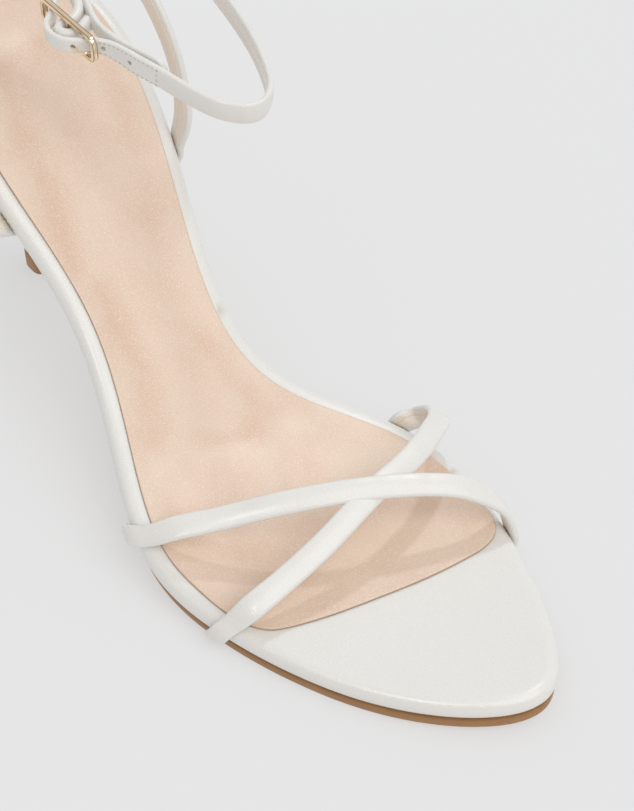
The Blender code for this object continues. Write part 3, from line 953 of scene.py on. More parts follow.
def strap_recipe() -> Recipe:
    """Tree that sweeps a strap's section along its middle line.

    Returns:
        The recipe: its source is the middle line and its Section an object with the section.
    """
    recipe = Recipe("strap_sweep")
    section = recipe.input("Section", "NodeSocketObject")
    rounding = recipe.number("Edge Radius")
    line = recipe.node("GeometryNodeMeshToCurve", {}, {"Mesh": recipe.source})
    outline = recipe.node("GeometryNodeObjectInfo", {}, {"Object": section}, "Geometry")
    loop = recipe.node("GeometryNodeMeshToCurve", {}, {"Mesh": outline})
    rail = {"Curve": line, "Profile Curve": loop, "Fill Caps": True}
    swept = recipe.node("GeometryNodeCurveToMesh", {}, rail)
    width = recipe.named("half") - rounding
    sideways = recipe.named("side") * width + recipe.named("reach")
    outwards = recipe.named("rise") + recipe.named("dome") * recipe.named("pad")
    outwards = outwards - recipe.named("crease") * recipe.named("face")
    place = recipe.named("middle", True) + recipe.named("across", True) * sideways
    place = place + recipe.named("outward", True) * outwards
    recipe.close(recipe.node("GeometryNodeSetPosition", {}, {"Geometry": swept, "Position": place}))
    return recipe


def stitch_recipe() -> Recipe:
    """Tree that lays stitches along a line.

    Returns:
        The recipe: its source is the line of the seam.
    """
    recipe = Recipe("stitch_row")
    pitch = recipe.number("Pitch")
    length = recipe.number("Stitch Length")
    radius = recipe.number("Thread Radius")
    line = recipe.node("GeometryNodeMeshToCurve", {}, {"Mesh": recipe.source})
    spread = recipe.node("GeometryNodeResampleCurve", {"mode": "LENGTH"}, {"Curve": line, "Length": pitch})
    stitch = recipe.node("GeometryNodeMeshUVSphere", {}, {"Segments": 8, "Rings": 6, "Radius": 1.0})
    size = recipe.node("ShaderNodeCombineXYZ", {}, {"X": length * 0.5, "Y": radius, "Z": radius})
    tangent = recipe.node("GeometryNodeInputTangent")
    turned = recipe.node("FunctionNodeAlignRotationToVector", {"axis": "X"}, {"Vector": tangent})
    sewn = {"Points": spread, "Instance": stitch, "Rotation": turned, "Scale": size}
    laid = recipe.node("GeometryNodeInstanceOnPoints", {}, sewn)
    recipe.close(recipe.node("GeometryNodeSetShadeSmooth", {}, {"Geometry": laid}))
    return recipe


def punch_recipe() -> Recipe:
    """Tree that punches round holes through a strap.

    Returns:
        The recipe: its Centres is an object whose points carry the direction of each hole.
    """
    recipe = Recipe("punched_holes")
    centres = recipe.input("Centres", "NodeSocketObject")
    radius = recipe.number("Radius")
    depth = recipe.number("Depth")
    points = recipe.node("GeometryNodeObjectInfo", {}, {"Object": centres}, "Geometry")
    pin = recipe.node("GeometryNodeMeshCylinder", {}, {"Vertices": 20, "Radius": radius, "Depth": depth})
    way = recipe.named("outward", True)
    turned = recipe.node("FunctionNodeAlignRotationToVector", {"axis": "Z"}, {"Vector": way})
    spots = {"Points": points, "Instance": pin, "Rotation": turned}
    placed = recipe.node("GeometryNodeInstanceOnPoints", {}, spots)
    cutters = recipe.node("GeometryNodeRealizeInstances", {}, {"Geometry": placed})
    cut = {"operation": "DIFFERENCE", "solver": "EXACT"}
    sides = {"Mesh 1": recipe.source, "Mesh 2": cutters}
    recipe.close(recipe.node("GeometryNodeMeshBoolean", cut, sides))
    return recipe


def buckle_recipe() -> Recipe:
    """Tree that bends a bar into a rounded frame with a rod across its middle.

    Returns:
        The recipe: its source is not used.
    """
    recipe = Recipe("buckle_frame")
    names = ("Length", "Height", "Wire", "Thickness", "Corner", "Edge", "Rod Place", "Rod Radius")
    length, height, wire, thick, corner, edge, rod_place, rod_radius = (recipe.number(n) for n in names)
    rectangle, fillet = "GeometryNodeCurvePrimitiveQuadrilateral", "GeometryNodeFilletCurve"
    path = recipe.node(rectangle, {}, {"Width": length - wire, "Height": height - wire})
    bent = recipe.node(fillet, {"mode": "POLY"}, {"Curve": path, "Count": 10, "Radius": corner})
    bar = recipe.node(rectangle, {}, {"Width": wire, "Height": thick})
    soft = recipe.node(fillet, {"mode": "POLY"}, {"Curve": bar, "Count": 4, "Radius": edge})
    loop = recipe.node("GeometryNodeCurveToMesh", {}, {"Curve": bent, "Profile Curve": soft})
    rod_size = {"Vertices": 24, "Radius": rod_radius, "Depth": height - wire}
    rod = recipe.node("GeometryNodeMeshCylinder", {}, rod_size)
    shift = recipe.node("ShaderNodeCombineXYZ", {}, {"X": rod_place})
    quarter = (math.pi / 2, 0.0, 0.0)
    upright = recipe.node("GeometryNodeTransform", {}, {"Geometry": rod, "Translation": shift})
    standing = recipe.node("GeometryNodeTransform", {}, {"Geometry": loop, "Rotation": quarter})
    joined = recipe.tree.nodes.new("GeometryNodeJoinGeometry")
    for part in (upright, standing):
        recipe.tree.links.new(part.socket, joined.inputs[0])
    recipe.close(Wire(recipe, joined.outputs[0]))
    return recipe


@dataclass
class Footbed:
    """White leather footbed with a half-round edge, and the tan sole under it."""

    last: Last
    steps: int = 190
    rim_steps: int = 20
    hold: int = 22
    sole_thick: float = 2.5
    sole_start: float = 48.0
    # Rings on top of the footbed and the nearest one to its edge, as a share of the way to the middle.
    top_rings: int = 12
    top_nearest: float = 0.08
    # Rings under the footbed, above the outsole and under it, as shares of the way to the middle.
    under: tuple[float, ...] = (0.3, 0.65, 1.0)
    sole_above: tuple[float, ...] = (1.0, 0.5)
    sole_under: tuple[float, ...] = (0.2, 0.4, 0.6, 0.8, 1.0)
    # Edge of the outsole: distance in, distance from its top or from its underside, how much darker it is.
    sole_upper: Table = (
        (0.5, 0.0, 0.4),
        (0.12, 0.14, 0.9),
        (0.0, 0.4, 1.0),
    )
    sole_lower: Table = (
        (0.0, 0.5, 0.3),
        (0.16, 0.16, 0.2),
        (0.6, 0.0, 0.0),
    )
    # How fast the pleats fade down the rim, and how much painted shade they take for their depth.
    pleat_fade: int = 6
    pleat_painted_shade: float = 1.6
    # Small pleats on the inner rim beside the sock: x at a point of the outline, half length, depth.
    pleats: Table = (
        (101.8, 0.5, 0.3),
        (164.8, 0.6, 0.3),
    )
    # Share of the length, how far the outsole stands back from the footbed's edge.
    setback: Table = (
        (0.20, 5.0),
        (0.38, 4.6),
        (0.50, 3.4),
        (0.60, 1.7),
        (0.70, 1.0),
        (1.00, 0.9),
    )

    def pleated(self, ring: Array) -> Array:
        """Depth of the pleats at the points of the outline.

        Args:
            ring: Rows of x and y, the outer side first.

        Returns:
            One depth for each point.
        """
        inner = np.arange(len(ring)) > len(ring) // 2
        depth = np.zeros(len(ring))
        for x, long, deep in self.pleats:
            depth += deep * np.exp(-(((ring[:, 0] - x) / long) ** 2)) * inner
        return depth

    def build_wrap(self, finish: Material) -> None:
        """Make the wrapped footbed.

        Args:
            finish: Its leather.
        """
        ring = self.last.ring(self.steps)
        loft = Loft("footbed_wrap")
        for share in np.linspace(1.0, self.top_nearest, self.top_rings):
            flat = toward_spine(inset(ring, EDGE_RADIUS), share, self.hold, False)
            loft.add(self.last.place(flat, -self.last.dip(flat)), cut=0.0)
        for k in range(self.rim_steps + 1):
            angle = math.radians(90 - 180 * k / self.rim_steps)
            flat = inset(ring, EDGE_RADIUS * (1 - math.cos(angle)))
            fold = self.pleated(ring) * max(math.sin(angle), 0.0) ** self.pleat_fade
            lift = EDGE_RADIUS * (math.sin(angle) - 1) - fold
            # The pleats take painted shade in the leather's cut colour, darker where they are deeper.
            loft.add(self.last.place(flat, lift), cut=fold * self.pleat_painted_shade)
        for share in self.under:
            flat = toward_spine(inset(ring, EDGE_RADIUS), share, self.hold, False)
            loft.add(self.last.place(flat, -BOARD_THICK), cut=0.0)
        add_piece("footbed_wrap", loft.mesh(), finish, Slot.WHITE, "footbed")

    def sole_ring(self, loft: Loft, flat: Array, lift: float, cut: float) -> None:
        """Add a ring of the outsole, no lower than the floor.

        Args:
            loft: The outsole.
            flat: Rows of x and y.
            lift: Distance above the footbed's top edge.
            cut: How much darker it is.
        """
        points = self.last.place(flat, lift)
        points[:, 2] = np.maximum(points[:, 2], 0.0)
        loft.add(points, cut=cut)

    def build_sole(self, finish: Material) -> None:
        """Make the outsole, flat where it stands on the floor.

        Args:
            finish: Its sole stock.
        """
        ring = self.last.ring(self.steps, self.sole_start)
        back = Spline(column(self.setback, 0), column(self.setback, 1))(ring[:, 0] / self.last.length)
        moved = inset(ring, back)
        moved[0] = (ring[0, 0], ring[0, 1] + back[0])
        moved[-1] = (ring[-1, 0], ring[-1, 1] - back[-1])
        top = -BOARD_THICK - GAP
        low = top - self.sole_thick
        above = inset(moved, self.sole_upper[0][0])
        below = inset(moved, self.sole_lower[-1][0])
        loft = Loft("outsole_edge")
        for share in self.sole_above:
            self.sole_ring(loft, toward_spine(above, share, self.hold, True), top, 0.0)
        for distance, down, cut in self.sole_upper:
            self.sole_ring(loft, inset(moved, distance), top - down, cut)
        for distance, up, cut in self.sole_lower:
            self.sole_ring(loft, inset(moved, distance), low + up, cut)
        for share in self.sole_under:
            self.sole_ring(loft, toward_spine(below, share, self.hold, True), low, 0.0)
        add_piece("outsole_edge", loft.mesh(), finish, Slot.TAN, "outsole")


@dataclass
class SockLining:
    """Blush leather sock on the footbed, with the soft dents of its padding and painted shade in their
    troughs.
    """

    last: Last
    thick: float = 0.55
    lift: float = 0.1
    side_end: float = 160.0
    count: int = 190
    hold: int = 16
    # Depth at which a trough has its full painted shade.
    deepest: float = 0.46
    last_steps: int = 60
    # Rings on top and the nearest one to the edge, and rings below, as shares of the way to the middle.
    top_rings: int = 30
    top_nearest: float = 0.035
    under: tuple[float, ...] = (0.0, 0.3, 0.65, 1.0)
    # Upper edge: distance in, distance below the top, how much of it takes the dark cut-edge colour,
    # partly the raw edge and partly a painted shadow line along the rim.
    edge: Table = (
        (0.5, 0.0, 0.0),
        (0.28, 0.02, 0.0),
        (0.1, 0.08, 0.3),
        (0.0, 0.2, 1.0),
    )
    # Front edge, from the outer side to the inner side: x, y.
    front: Table = (
        (166.0, -35.6),
        (172.2, -33.4),
        (176.4, -30.4),
        (179.2, -25.0),
        (182.4, -14.6),
        (184.9, -3.3),
        (187.0, 7.5),
        (188.4, 19.0),
        (188.8, 25.0),
        (188.2, 29.2),
        (186.4, 32.6),
        (183.2, 34.8),
        (177.0, 35.7),
        (168.0, 36.0),
    )
    # Soft troughs: x and y of one end, x and y of the other, half width, depth. Ridges are negative.
    dents: Table = (
        (62.0, -14.6, 80.5, -18.0, 3.8, 0.5),
        (88.0, -15.4, 103.0, -16.2, 3.8, 0.5),
        (103.0, -16.2, 119.0, -22.7, 3.8, 0.26),
        (77.7, 6.0, 100.4, 1.2, 3.4, 0.28),
        (100.4, 1.2, 113.2, 2.8, 3.4, 0.38),
        (113.2, 2.8, 126.0, 5.0, 3.6, 0.42),
        (126.0, 5.0, 130.2, -1.0, 3.8, 0.46),
        (130.2, -1.0, 126.3, -13.0, 3.8, 0.3),
        (34.0, 2.0, 38.0, -7.5, 4.6, 0.4),
        (38.0, -7.5, 53.0, -14.6, 4.6, 0.46),
        (44.7, 16.1, 63.6, 12.5, 3.8, 0.34),
        (70.0, -5.0, 100.0, -6.0, 6.0, -0.2),
        (106.0, -6.5, 121.0, -4.8, 5.0, -0.3),
        (96.0, 8.6, 112.0, 10.8, 3.6, -0.16),
        (52.0, -21.0, 62.0, -21.5, 3.4, -0.24),
        (48.0, 19.4, 60.0, 17.4, 3.0, -0.22),
        (130.0, -29.2, 145.0, -28.6, 4.2, -0.28),
        (136.0, 8.0, 146.0, 1.0, 4.2, -0.22),
        (136.0, 20.0, 148.0, 27.0, 5.5, -0.22),
    )

    def outline(self) -> Array:
        """Closed outline of the sock.

        Returns:
            Rows of x and y, the outer side first.
        """
        whole = inset(self.last.ring(self.last_steps), self.last.seat_inset)
        half = len(whole) // 2
        back = whole[:1]
        outer = np.array([p for p in whole[: half + 1] if p[0] < self.side_end])
        inner = np.concatenate([back, [p for p in whole[:half:-1] if p[0] < self.side_end]])
        front = np.array(self.front)
        tip = int(np.argmax(front[:, 0]))
        outer = resample(np.concatenate([outer, front[: tip + 1]]), self.count)
        inner = resample(np.concatenate([inner, front[:tip:-1], front[tip : tip + 1]]), self.count)
        return np.concatenate([outer, inner[-2:0:-1]])

    def hollow(self, flat: Array) -> Array:
        """Depth of the dents.

        Args:
            flat: Rows of x and y.

        Returns:
            One depth for each row, the deepest trough less the highest ridge.
        """
        trough, ridge = np.zeros(len(flat)), np.zeros(len(flat))
        for x0, y0, x1, y1, wide, deep in self.dents:
            start, run = np.array([x0, y0]), np.array([x1 - x0, y1 - y0])
            share = np.clip((flat - start) @ run / (run @ run), 0, 1)
            away = np.linalg.norm(flat - start - share[:, None] * run, axis=1)
            depth = deep * np.exp(-((away / wide) ** 2))
            trough, ridge = np.maximum(trough, depth), np.minimum(ridge, depth)
        return trough + ridge

    def lay(self, loft: Loft, flat: Array, lift: float, cut: float, soft: bool) -> None:
        """Add a ring of the sock.

        Args:
            loft: The sock.
            flat: Rows of x and y.
            lift: Distance above the footbed.
            cut: How much of it takes the dark cut-edge colour, partly a painted shadow line.
            soft: Whether it follows the dents.
        """
        hollow = self.hollow(flat) if soft else np.zeros(len(flat))
        # Painted shade: the deeper the trough, the darker its colour.
        trough_shade = np.clip(hollow / self.deepest, 0, 1)
        loft.add(self.last.place(flat, lift - self.last.dip(flat) - hollow), cut=cut, dent=trough_shade)

    def build(self, finish: Material) -> None:
        """Make the sock.

        Args:
            finish: Its leather.
        """
        ring = self.outline()
        high = self.lift + self.thick
        top = inset(ring, self.edge[0][0])
        loft = Loft("sock")
        for share in np.linspace(1.0, self.top_nearest, self.top_rings):
            self.lay(loft, toward_spine(top, share, self.hold, False), high, 0.0, True)
        for distance, below, cut in self.edge:
            self.lay(loft, inset(ring, distance), high - below, cut, True)
        for share in self.under:
            self.lay(loft, toward_spine(ring, share, self.hold, False), self.lift, 1.0, False)
        add_piece("sock_leather", loft.mesh(), finish, Slot.BLUSH, "sock_lining")


@dataclass
class Heel:
    """Slim covered heel and the tan piece that it stands on."""

    last: Last
    breast: float = 47.4
    drop: float = 6.2
    foot_height: float = 6.5
    foot_middle: tuple[float, float] = (22.9, 0.0)
    foot_half: tuple[float, float] = (4.4, 4.8)
    foot_power: float = 3.4
    seat_share: float = 0.93
    seat_forward: float = 2.2
    breast_bow: float = 4.0
    breast_margin: float = 0.8
    count: int = 160
    levels: int = 46
    sharp: float = 38.0
    # How far the cover turns in at its lower end, and at the seat as a share of the way to its middle.
    turned_in: float = 0.5
    seat_inner: float = 0.5
    # Foot of the heel: height, how much smaller its outline is.
    foot_rows: Table = (
        (0.0, 0.5),
        (0.12, 0.15),
        (0.4, 0.0),
        (6.1, 0.0),
        (6.4, 0.15),
        (6.5, 0.5),
    )
    # Share of the height, share of the way from the foot's outline to the seat's.
    sections: Table = (
        (0.00, 0.000),
        (0.18, 0.020),
        (0.36, 0.060),
        (0.52, 0.125),
        (0.66, 0.220),
        (0.77, 0.345),
        (0.86, 0.510),
        (0.93, 0.710),
        (0.98, 0.900),
        (1.00, 1.000),
    )

    def foot(self, shrink: float = 0.0) -> Array:
        """Outline on the floor, a squared oval.

        Args:
            shrink: How much smaller it is, on each side.

        Returns:
            Rows of x and y.
        """
        turns = np.radians(-45.0 - 360.0 * np.arange(self.count) / self.count)
        c, s = np.cos(turns), np.sin(turns)
        size = (np.abs(c) ** self.foot_power + np.abs(s) ** self.foot_power) ** (-1 / self.foot_power)
        half_x, half_y = (half - shrink for half in self.foot_half)
        middle_x, middle_y = self.foot_middle
        return np.column_stack([middle_x + half_x * c * size, middle_y + half_y * s * size])

    def seat(self) -> Array:
        """Outline under the footbed, from the outer breast corner round the back.

        Returns:
            Rows of x and y.
        """
        sides = self.count * 3 // 4
        turn = np.linspace(1, -1, sides)
        angle = np.abs(turn) * float(self.last.turn(self.breast - self.breast_margin))
        x = (1 - np.cos(angle)) / 2 * self.last.length
        edge = self.last.sides(angle)
        y = np.where(turn >= 0, edge[:, 0], edge[:, 1])
        middle = edge.mean(axis=1)
        round_back = np.column_stack(
            [x + self.seat_forward * (1 - x / self.breast), middle + (y - middle) * self.seat_share]
        )
        first, last = round_back[0], round_back[-1]
        share = np.arange(1, self.count - sides + 1) / (self.count - sides + 1)
        front = np.column_stack(
            [last[0] - self.breast_bow * np.sin(np.pi * share), last[1] + (first[1] - last[1]) * share]
        )
        return np.concatenate([round_back, front])

    def build(self, leather: Material, tan: Material) -> None:
        """Make the heel and its foot.

        Args:
            leather: Finish of the heel.
            tan: Finish of its foot.
        """
        foot, seat = self.foot(), self.seat()
        top = self.last.place(seat, -self.drop)
        low = self.foot_height + GAP
        shape = Spline(column(self.sections, 0), column(self.sections, 1))
        loft = Loft("heel_cover")
        heights = np.sin(np.linspace(0, math.pi / 2, self.levels))
        loft.add(np.column_stack([self.foot(self.turned_in), np.full(self.count, low)]))
        for height in heights:
            size = float(np.clip(shape(height)[0], 0, 1))
            flat = foot + (top[:, :2] - foot) * size
            loft.add(np.column_stack([flat, low + (top[:, 2] - low) * height]))
        inner = seat + (seat.mean(axis=0) - seat) * self.seat_inner
        loft.add(self.last.place(inner, -self.drop))
        add_piece("heel_cover", loft.mesh(caps=True, sharp=self.sharp), leather, Slot.WHITE, "heel")
        piece = Loft("heel_foot")
        for z, shrink in self.foot_rows:
            piece.add(np.column_stack([self.foot(shrink), np.full(self.count, z)]), cut=0.0)
        add_piece("heel_foot", piece.mesh(caps=True), tan, Slot.TAN, "heel_top_piece")


@dataclass(frozen=True)
class Wrap:
    """Where a strap turns round the sole's half-round edge: x and angle at the tucked end and take-off."""

    side: Side
    x: tuple[float, float]
    angle: tuple[float, float]
    width: float = 7.0
    # Rough angle between points, and half the length over which the edge's direction is measured.
    turn_step: float = 22.0
    lean_span: float = 0.5

    def rows(self, last: Last, thick: float) -> Array:
        """Middle line and direction across the strap, from the tucked end to the take-off.

        Args:
            last: The shoe's last.
            thick: Thickness of the strap.

        Returns:
            Rows of x, y, z, the direction across and the width.
        """
        count = max(3, round(abs(self.angle[1] - self.angle[0]) / self.turn_step)) + 1
        x = np.linspace(*self.x, count)
        angle = np.radians(np.linspace(*self.angle, count))[:, None]
        pick = self.side.value
        lean = last.edges(x + self.lean_span)[:, pick] - last.edges(x - self.lean_span)[:, pick]
        along = unit(np.column_stack([np.full(count, 2 * self.lean_span), lean]))
        out = np.column_stack([along[:, 1], -along[:, 0]]) * (1 if self.side is Side.OUTER else -1)
        height, forward, normal = last.slopes(x)
        outward = out[:, :1] * forward + out[:, 1:] * SIDEWAYS
        across = along[:, :1] * forward + along[:, 1:] * SIDEWAYS
        edge = np.column_stack([x, last.edges(x)[:, pick], height])
        middle = edge - (outward + normal) * EDGE_RADIUS
        reach = EDGE_RADIUS + GAP + thick / 2
        points = middle + reach * (np.cos(angle) * outward + np.sin(angle) * normal)
        return np.column_stack([points, across, np.full(count, self.width)])


@dataclass
class Strap:
    """A lined strap with turned edges along a middle line."""

    name: str
    rows: Array
    width: float
    thick: float
    pad: float = 0.25
    flip: bool = False
    rounded: tuple[bool, bool] = (False, False)
    step: float = 0.8
    lining_margin: float = 1.5
    lining_lift: float = 0.14
    # How much of the lining's own colour shows, 0 for the colour of the face.
    lining_share: float = 1.0
    # Place of the lining's seam across the strap from -1 to 1, and half its width.
    lining_seam: tuple[float, float] = (-0.3, 0.05)
    end_share: float = 0.12
    # Distance along the strap, depth and half length of each soft crease.
    creases: Table = ()
    # Distance along the strap up to which it is flat, and over which it swells after that.
    flat_until: float = 0.0
    swell: float = 4.0
    # Extra stations by a rounded end, half the span that directions are measured over, and the
    # least half width as a share of the thickness.
    end_stations: tuple[float, ...] = (0.1, 0.25, 0.45, 0.7, 1.0, 1.4, 1.9)
    span: float = 0.2
    least_half: float = 0.53
    # Points round each turned edge, and places across half of the face.
    edge_points: int = 11
    face_places: tuple[float, ...] = (0.9, 0.75, 0.55, 0.3, 0.0)
    # Across the lining: two steps in from its edge, and places beyond its seam.
    lining_steps: Range = (0.03, 0.06)
    lining_places: Range = (0.1, 0.4)
    # How dark the lining's seam is, and how deep it would be at full dark.
    seam_shade: float = 0.5
    seam_depth: float = 0.1

    def __post_init__(self) -> None:
        """Lay stations along the strap."""
        reach = run_length(self.rows[:, :3])
        line = Spline(reach, self.rows[:, :6])
        self.length = float(reach[-1])
        count = round(self.length / self.step)
        stations = np.linspace(0, self.length, count + 1)
        ends = np.array(self.end_stations)
        if self.rounded[0]:
            stations = np.concatenate([stations, ends])
        if self.rounded[1]:
            stations = np.concatenate([stations, self.length - ends])
        self.stations = np.unique(np.round(stations, 4))
        found = line(self.stations)
        ahead, behind = (line(self.stations + way)[:, :3] for way in (self.span, -self.span))
        along = unit(ahead - behind)
        across = found[:, 3:] - along * np.sum(found[:, 3:] * along, axis=1, keepdims=True)
        self.middle = found[:, :3]
        self.across = unit(across)
        self.outward = np.cross(self.across, along) * (-1 if self.flip else 1)
        self.half = np.interp(self.stations, reach, self.rows[:, 6]) / 2
        for used, away in zip(self.rounded, (self.stations, self.length - self.stations)):
            if used:
                share = np.clip(1 - away / self.half, 0, 1)
                self.half = self.half * np.sqrt(np.maximum(1 - share**2, self.end_share))
        self.half = np.maximum(self.half, self.thick * self.least_half)

    def section(self) -> dict[str, Array]:
        """Points round the strap.

        Returns:
            For each point: side from -1 to 1, reach past it, rise, dome, face, lining and cut.
        """
        radius = self.thick / 2
        flat = self.width / 2 - radius
        margin = 1 - (self.lining_margin - radius) / flat
        corner = self.edge_points - 1
        rows = []
        for degrees in np.linspace(-90, 90, self.edge_points):
            angle = math.radians(degrees)
            top = max(math.sin(angle), 0.0)
            rows.append((1.0, radius * math.cos(angle), radius * math.sin(angle), 0.0, top, 0.0, 0.0))
        for side in self.face_places:
            rows.append((side, 0.0, radius, 1 - side**2, 1.0, 0.0, 0.0))
        for row in rows[-2:corner:-1] + rows[corner::-1]:
            rows.append((-row[0], -row[1], *row[2:]))
        seam, thin = self.lining_seam
        near, far = self.lining_steps
        inside = (-margin + far, seam - thin, seam, seam + thin, *self.lining_places, margin - far)
        for side in (-margin, -margin + near, *inside, margin - near, margin):
            lined = self.lining_share if abs(side) < margin - near / 2 else 0.0
            lift = self.lining_lift if abs(side) < margin - (near + far) / 2 else 0.0
            sewn = self.seam_shade if side == seam else 0.0
            rows.append((side, 0.0, -radius - lift + sewn * self.seam_depth, 0.0, 0.0, lined, sewn))
        table = np.array(rows)
        return dict(zip(("side", "reach", "rise", "dome", "face", "lining", "cut"), table.T))

    def crease_depth(self) -> Array:
        """Depth of the creases.

        Returns:
            One depth for each station.
        """
        depth = np.zeros(len(self.stations))
        for at, deep, long in self.creases:
            depth += deep * np.exp(-(((self.stations - at) / long) ** 2))
        return depth

    def mesh(self, recipe: Recipe, finish: Material) -> Mesh:
        """Sweep the strap.

        Args:
            recipe: The tree that sweeps it.
            finish: Its leather.

        Returns:
            The finished mesh.
        """
        line = line_mesh(self.name, to_part(self.middle))
        set_values(line, "middle", to_part(self.middle))
        set_values(line, "across", self.across)
        set_values(line, "outward", self.outward)
        set_values(line, "half", self.half * MM)
        rise = np.clip((self.stations - self.flat_until) / self.swell, 0, 1) if self.flat_until else 1.0
        set_values(line, "pad", np.full(len(self.stations), self.pad * MM) * rise)
        set_values(line, "crease", self.crease_depth() * MM)
        table = self.section()
        flat = self.width / 2 - self.thick / 2
        place = np.column_stack([table["side"] * flat + table["reach"], table["rise"], 0 * table["rise"]])
        outline = line_mesh(self.name + "_section", place * MM, closed=True)
        for name, values in table.items():
            set_values(outline, name, values * (MM if name in ("reach", "rise") else 1.0))
        carrier = link_new(self.name + "_section", outline)
        made = recipe.run(self.name, line, Section=carrier, Edge_Radius=self.thick / 2 * MM, Finish=finish)
        bpy.data.objects.remove(carrier, do_unlink=True)
        return finish_mesh(made)

    def on_face(self, at: Array, offset: Array, lift: float) -> Array:
        """Points on the outer face.

        Args:
            at: Distance along the strap of each point.
            offset: Its distance from the middle, across the strap.
            lift: Distance above the face.

        Returns:
            Rows of x, y and z.
        """
        middle, across, outward = (
            np.stack([np.interp(at, self.stations, rows[:, k]) for k in range(3)], axis=1)
            for rows in (self.middle, self.across, self.outward)
        )
        return middle + unit(across) * offset[:, None] + unit(outward) * (self.thick / 2 + lift)


@dataclass
class ToeStraps:
    """The two straps that cross over the toes."""

    last: Last
    width: float = 6.4
    thick: float = 1.9
    lining_margin: float = 1.05
    wraps: dict[str, Wrap] = field(
        default_factory=lambda: {
            "front_outer": Wrap(Side.OUTER, (135.0, 138.6), (-32.0, 58.0), 5.4),
            "front_inner": Wrap(Side.INNER, (187.0, 186.6), (-32.0, 14.0), 6.6),
            "cross_outer": Wrap(Side.OUTER, (167.0, 170.2), (-32.0, 56.0), 5.2),
            "cross_inner": Wrap(Side.INNER, (145.4, 145.8), (-36.0, 16.0), 6.0),
        }
    )
    # Middle lines: x, y, z, the direction across the strap, width.
    front: Table = (
        (144.3, -34.5, 18.8, 0.86, -0.43, -0.28, 6.4),
        (148.7, -27.3, 20.4, 0.82, -0.37, -0.44, 6.0),
        (153.6, -18.6, 22.5, 0.80, -0.36, -0.48, 6.0),
        (159.7, -8.0, 24.8, 0.79, -0.38, -0.48, 6.0),
        (165.2, 2.7, 25.5, 0.77, -0.42, -0.47, 6.0),
        (170.6, 13.5, 24.9, 0.75, -0.48, -0.45, 6.0),
        (175.1, 22.3, 23.2, 0.74, -0.55, -0.40, 6.0),
        (178.8, 28.6, 20.9, 0.70, -0.62, -0.35, 6.0),
        (181.7, 32.9, 17.6, 0.86, -0.48, -0.14, 6.5),
        (184.4, 36.0, 13.4, 0.96, -0.28, 0.00, 6.8),
    )
    cross: Table = (
        (171.9, -32.1, 13.9, 0.95, 0.07, -0.29, 6.5),
        (172.1, -24.5, 16.4, 0.89, 0.14, -0.44, 6.2),
        (171.7, -16.9, 18.3, 0.89, 0.17, -0.43, 6.2),
        (171.0, -8.8, 20.5, 0.88, 0.21, -0.42, 6.2),
        (169.6, -0.1, 22.8, 0.87, 0.25, -0.42, 6.2),
        (168.4, 6.1, 24.0, 0.87, 0.22, -0.44, 6.2),
        (167.2, 12.8, 24.5, 0.89, 0.18, -0.41, 6.2),
        (165.7, 20.0, 24.3, 0.89, 0.24, -0.38, 6.2),
        (163.2, 27.4, 24.1, 0.86, 0.33, -0.39, 6.2),
        (159.7, 34.1, 22.9, 0.89, 0.27, -0.18, 6.2),
        (156.4, 38.7, 20.6, 0.90, 0.17, 0.02, 6.2),
        (152.6, 40.8, 17.6, 0.91, 0.20, 0.04, 6.2),
        (149.2, 40.5, 14.6, 0.93, 0.30, 0.00, 6.0),
        (147.1, 39.1, 12.5, 0.95, 0.28, -0.04, 5.8),
    )
    front_creases: Table = ((66.0, 0.10, 2.4), (74.0, 0.12, 1.6), (80.0, 0.10, 1.3))
    cross_creases: Table = ((52.0, 0.08, 2.0), (76.0, 0.12, 1.6), (81.0, 0.10, 1.3))

    def rows(self, name: str, table: Table) -> Array:
        """Whole middle line of a strap, with both turned ends."""
        ends = [self.wraps[f"{name}_{side}"].rows(self.last, self.thick) for side in ("outer", "inner")]
        return np.concatenate([ends[0], np.array(table), ends[1][::-1]])

    def build(self, recipe: Recipe, finish: Material) -> None:
        """Make both straps.

        Args:
            recipe: Tree for straps.
            finish: Their leather.
        """
        for name, table, creases in (
            ("front", self.front, self.front_creases),
            ("cross", self.cross, self.cross_creases),
        ):
            strap = Strap(
                f"{name}_strap",
                self.rows(name, table),
                self.width,
                self.thick,
                lining_margin=self.lining_margin,
                creases=creases,
            )
            add_piece(strap.name, strap.mesh(recipe, finish), finish, Slot.WHITE, "vamp_straps")


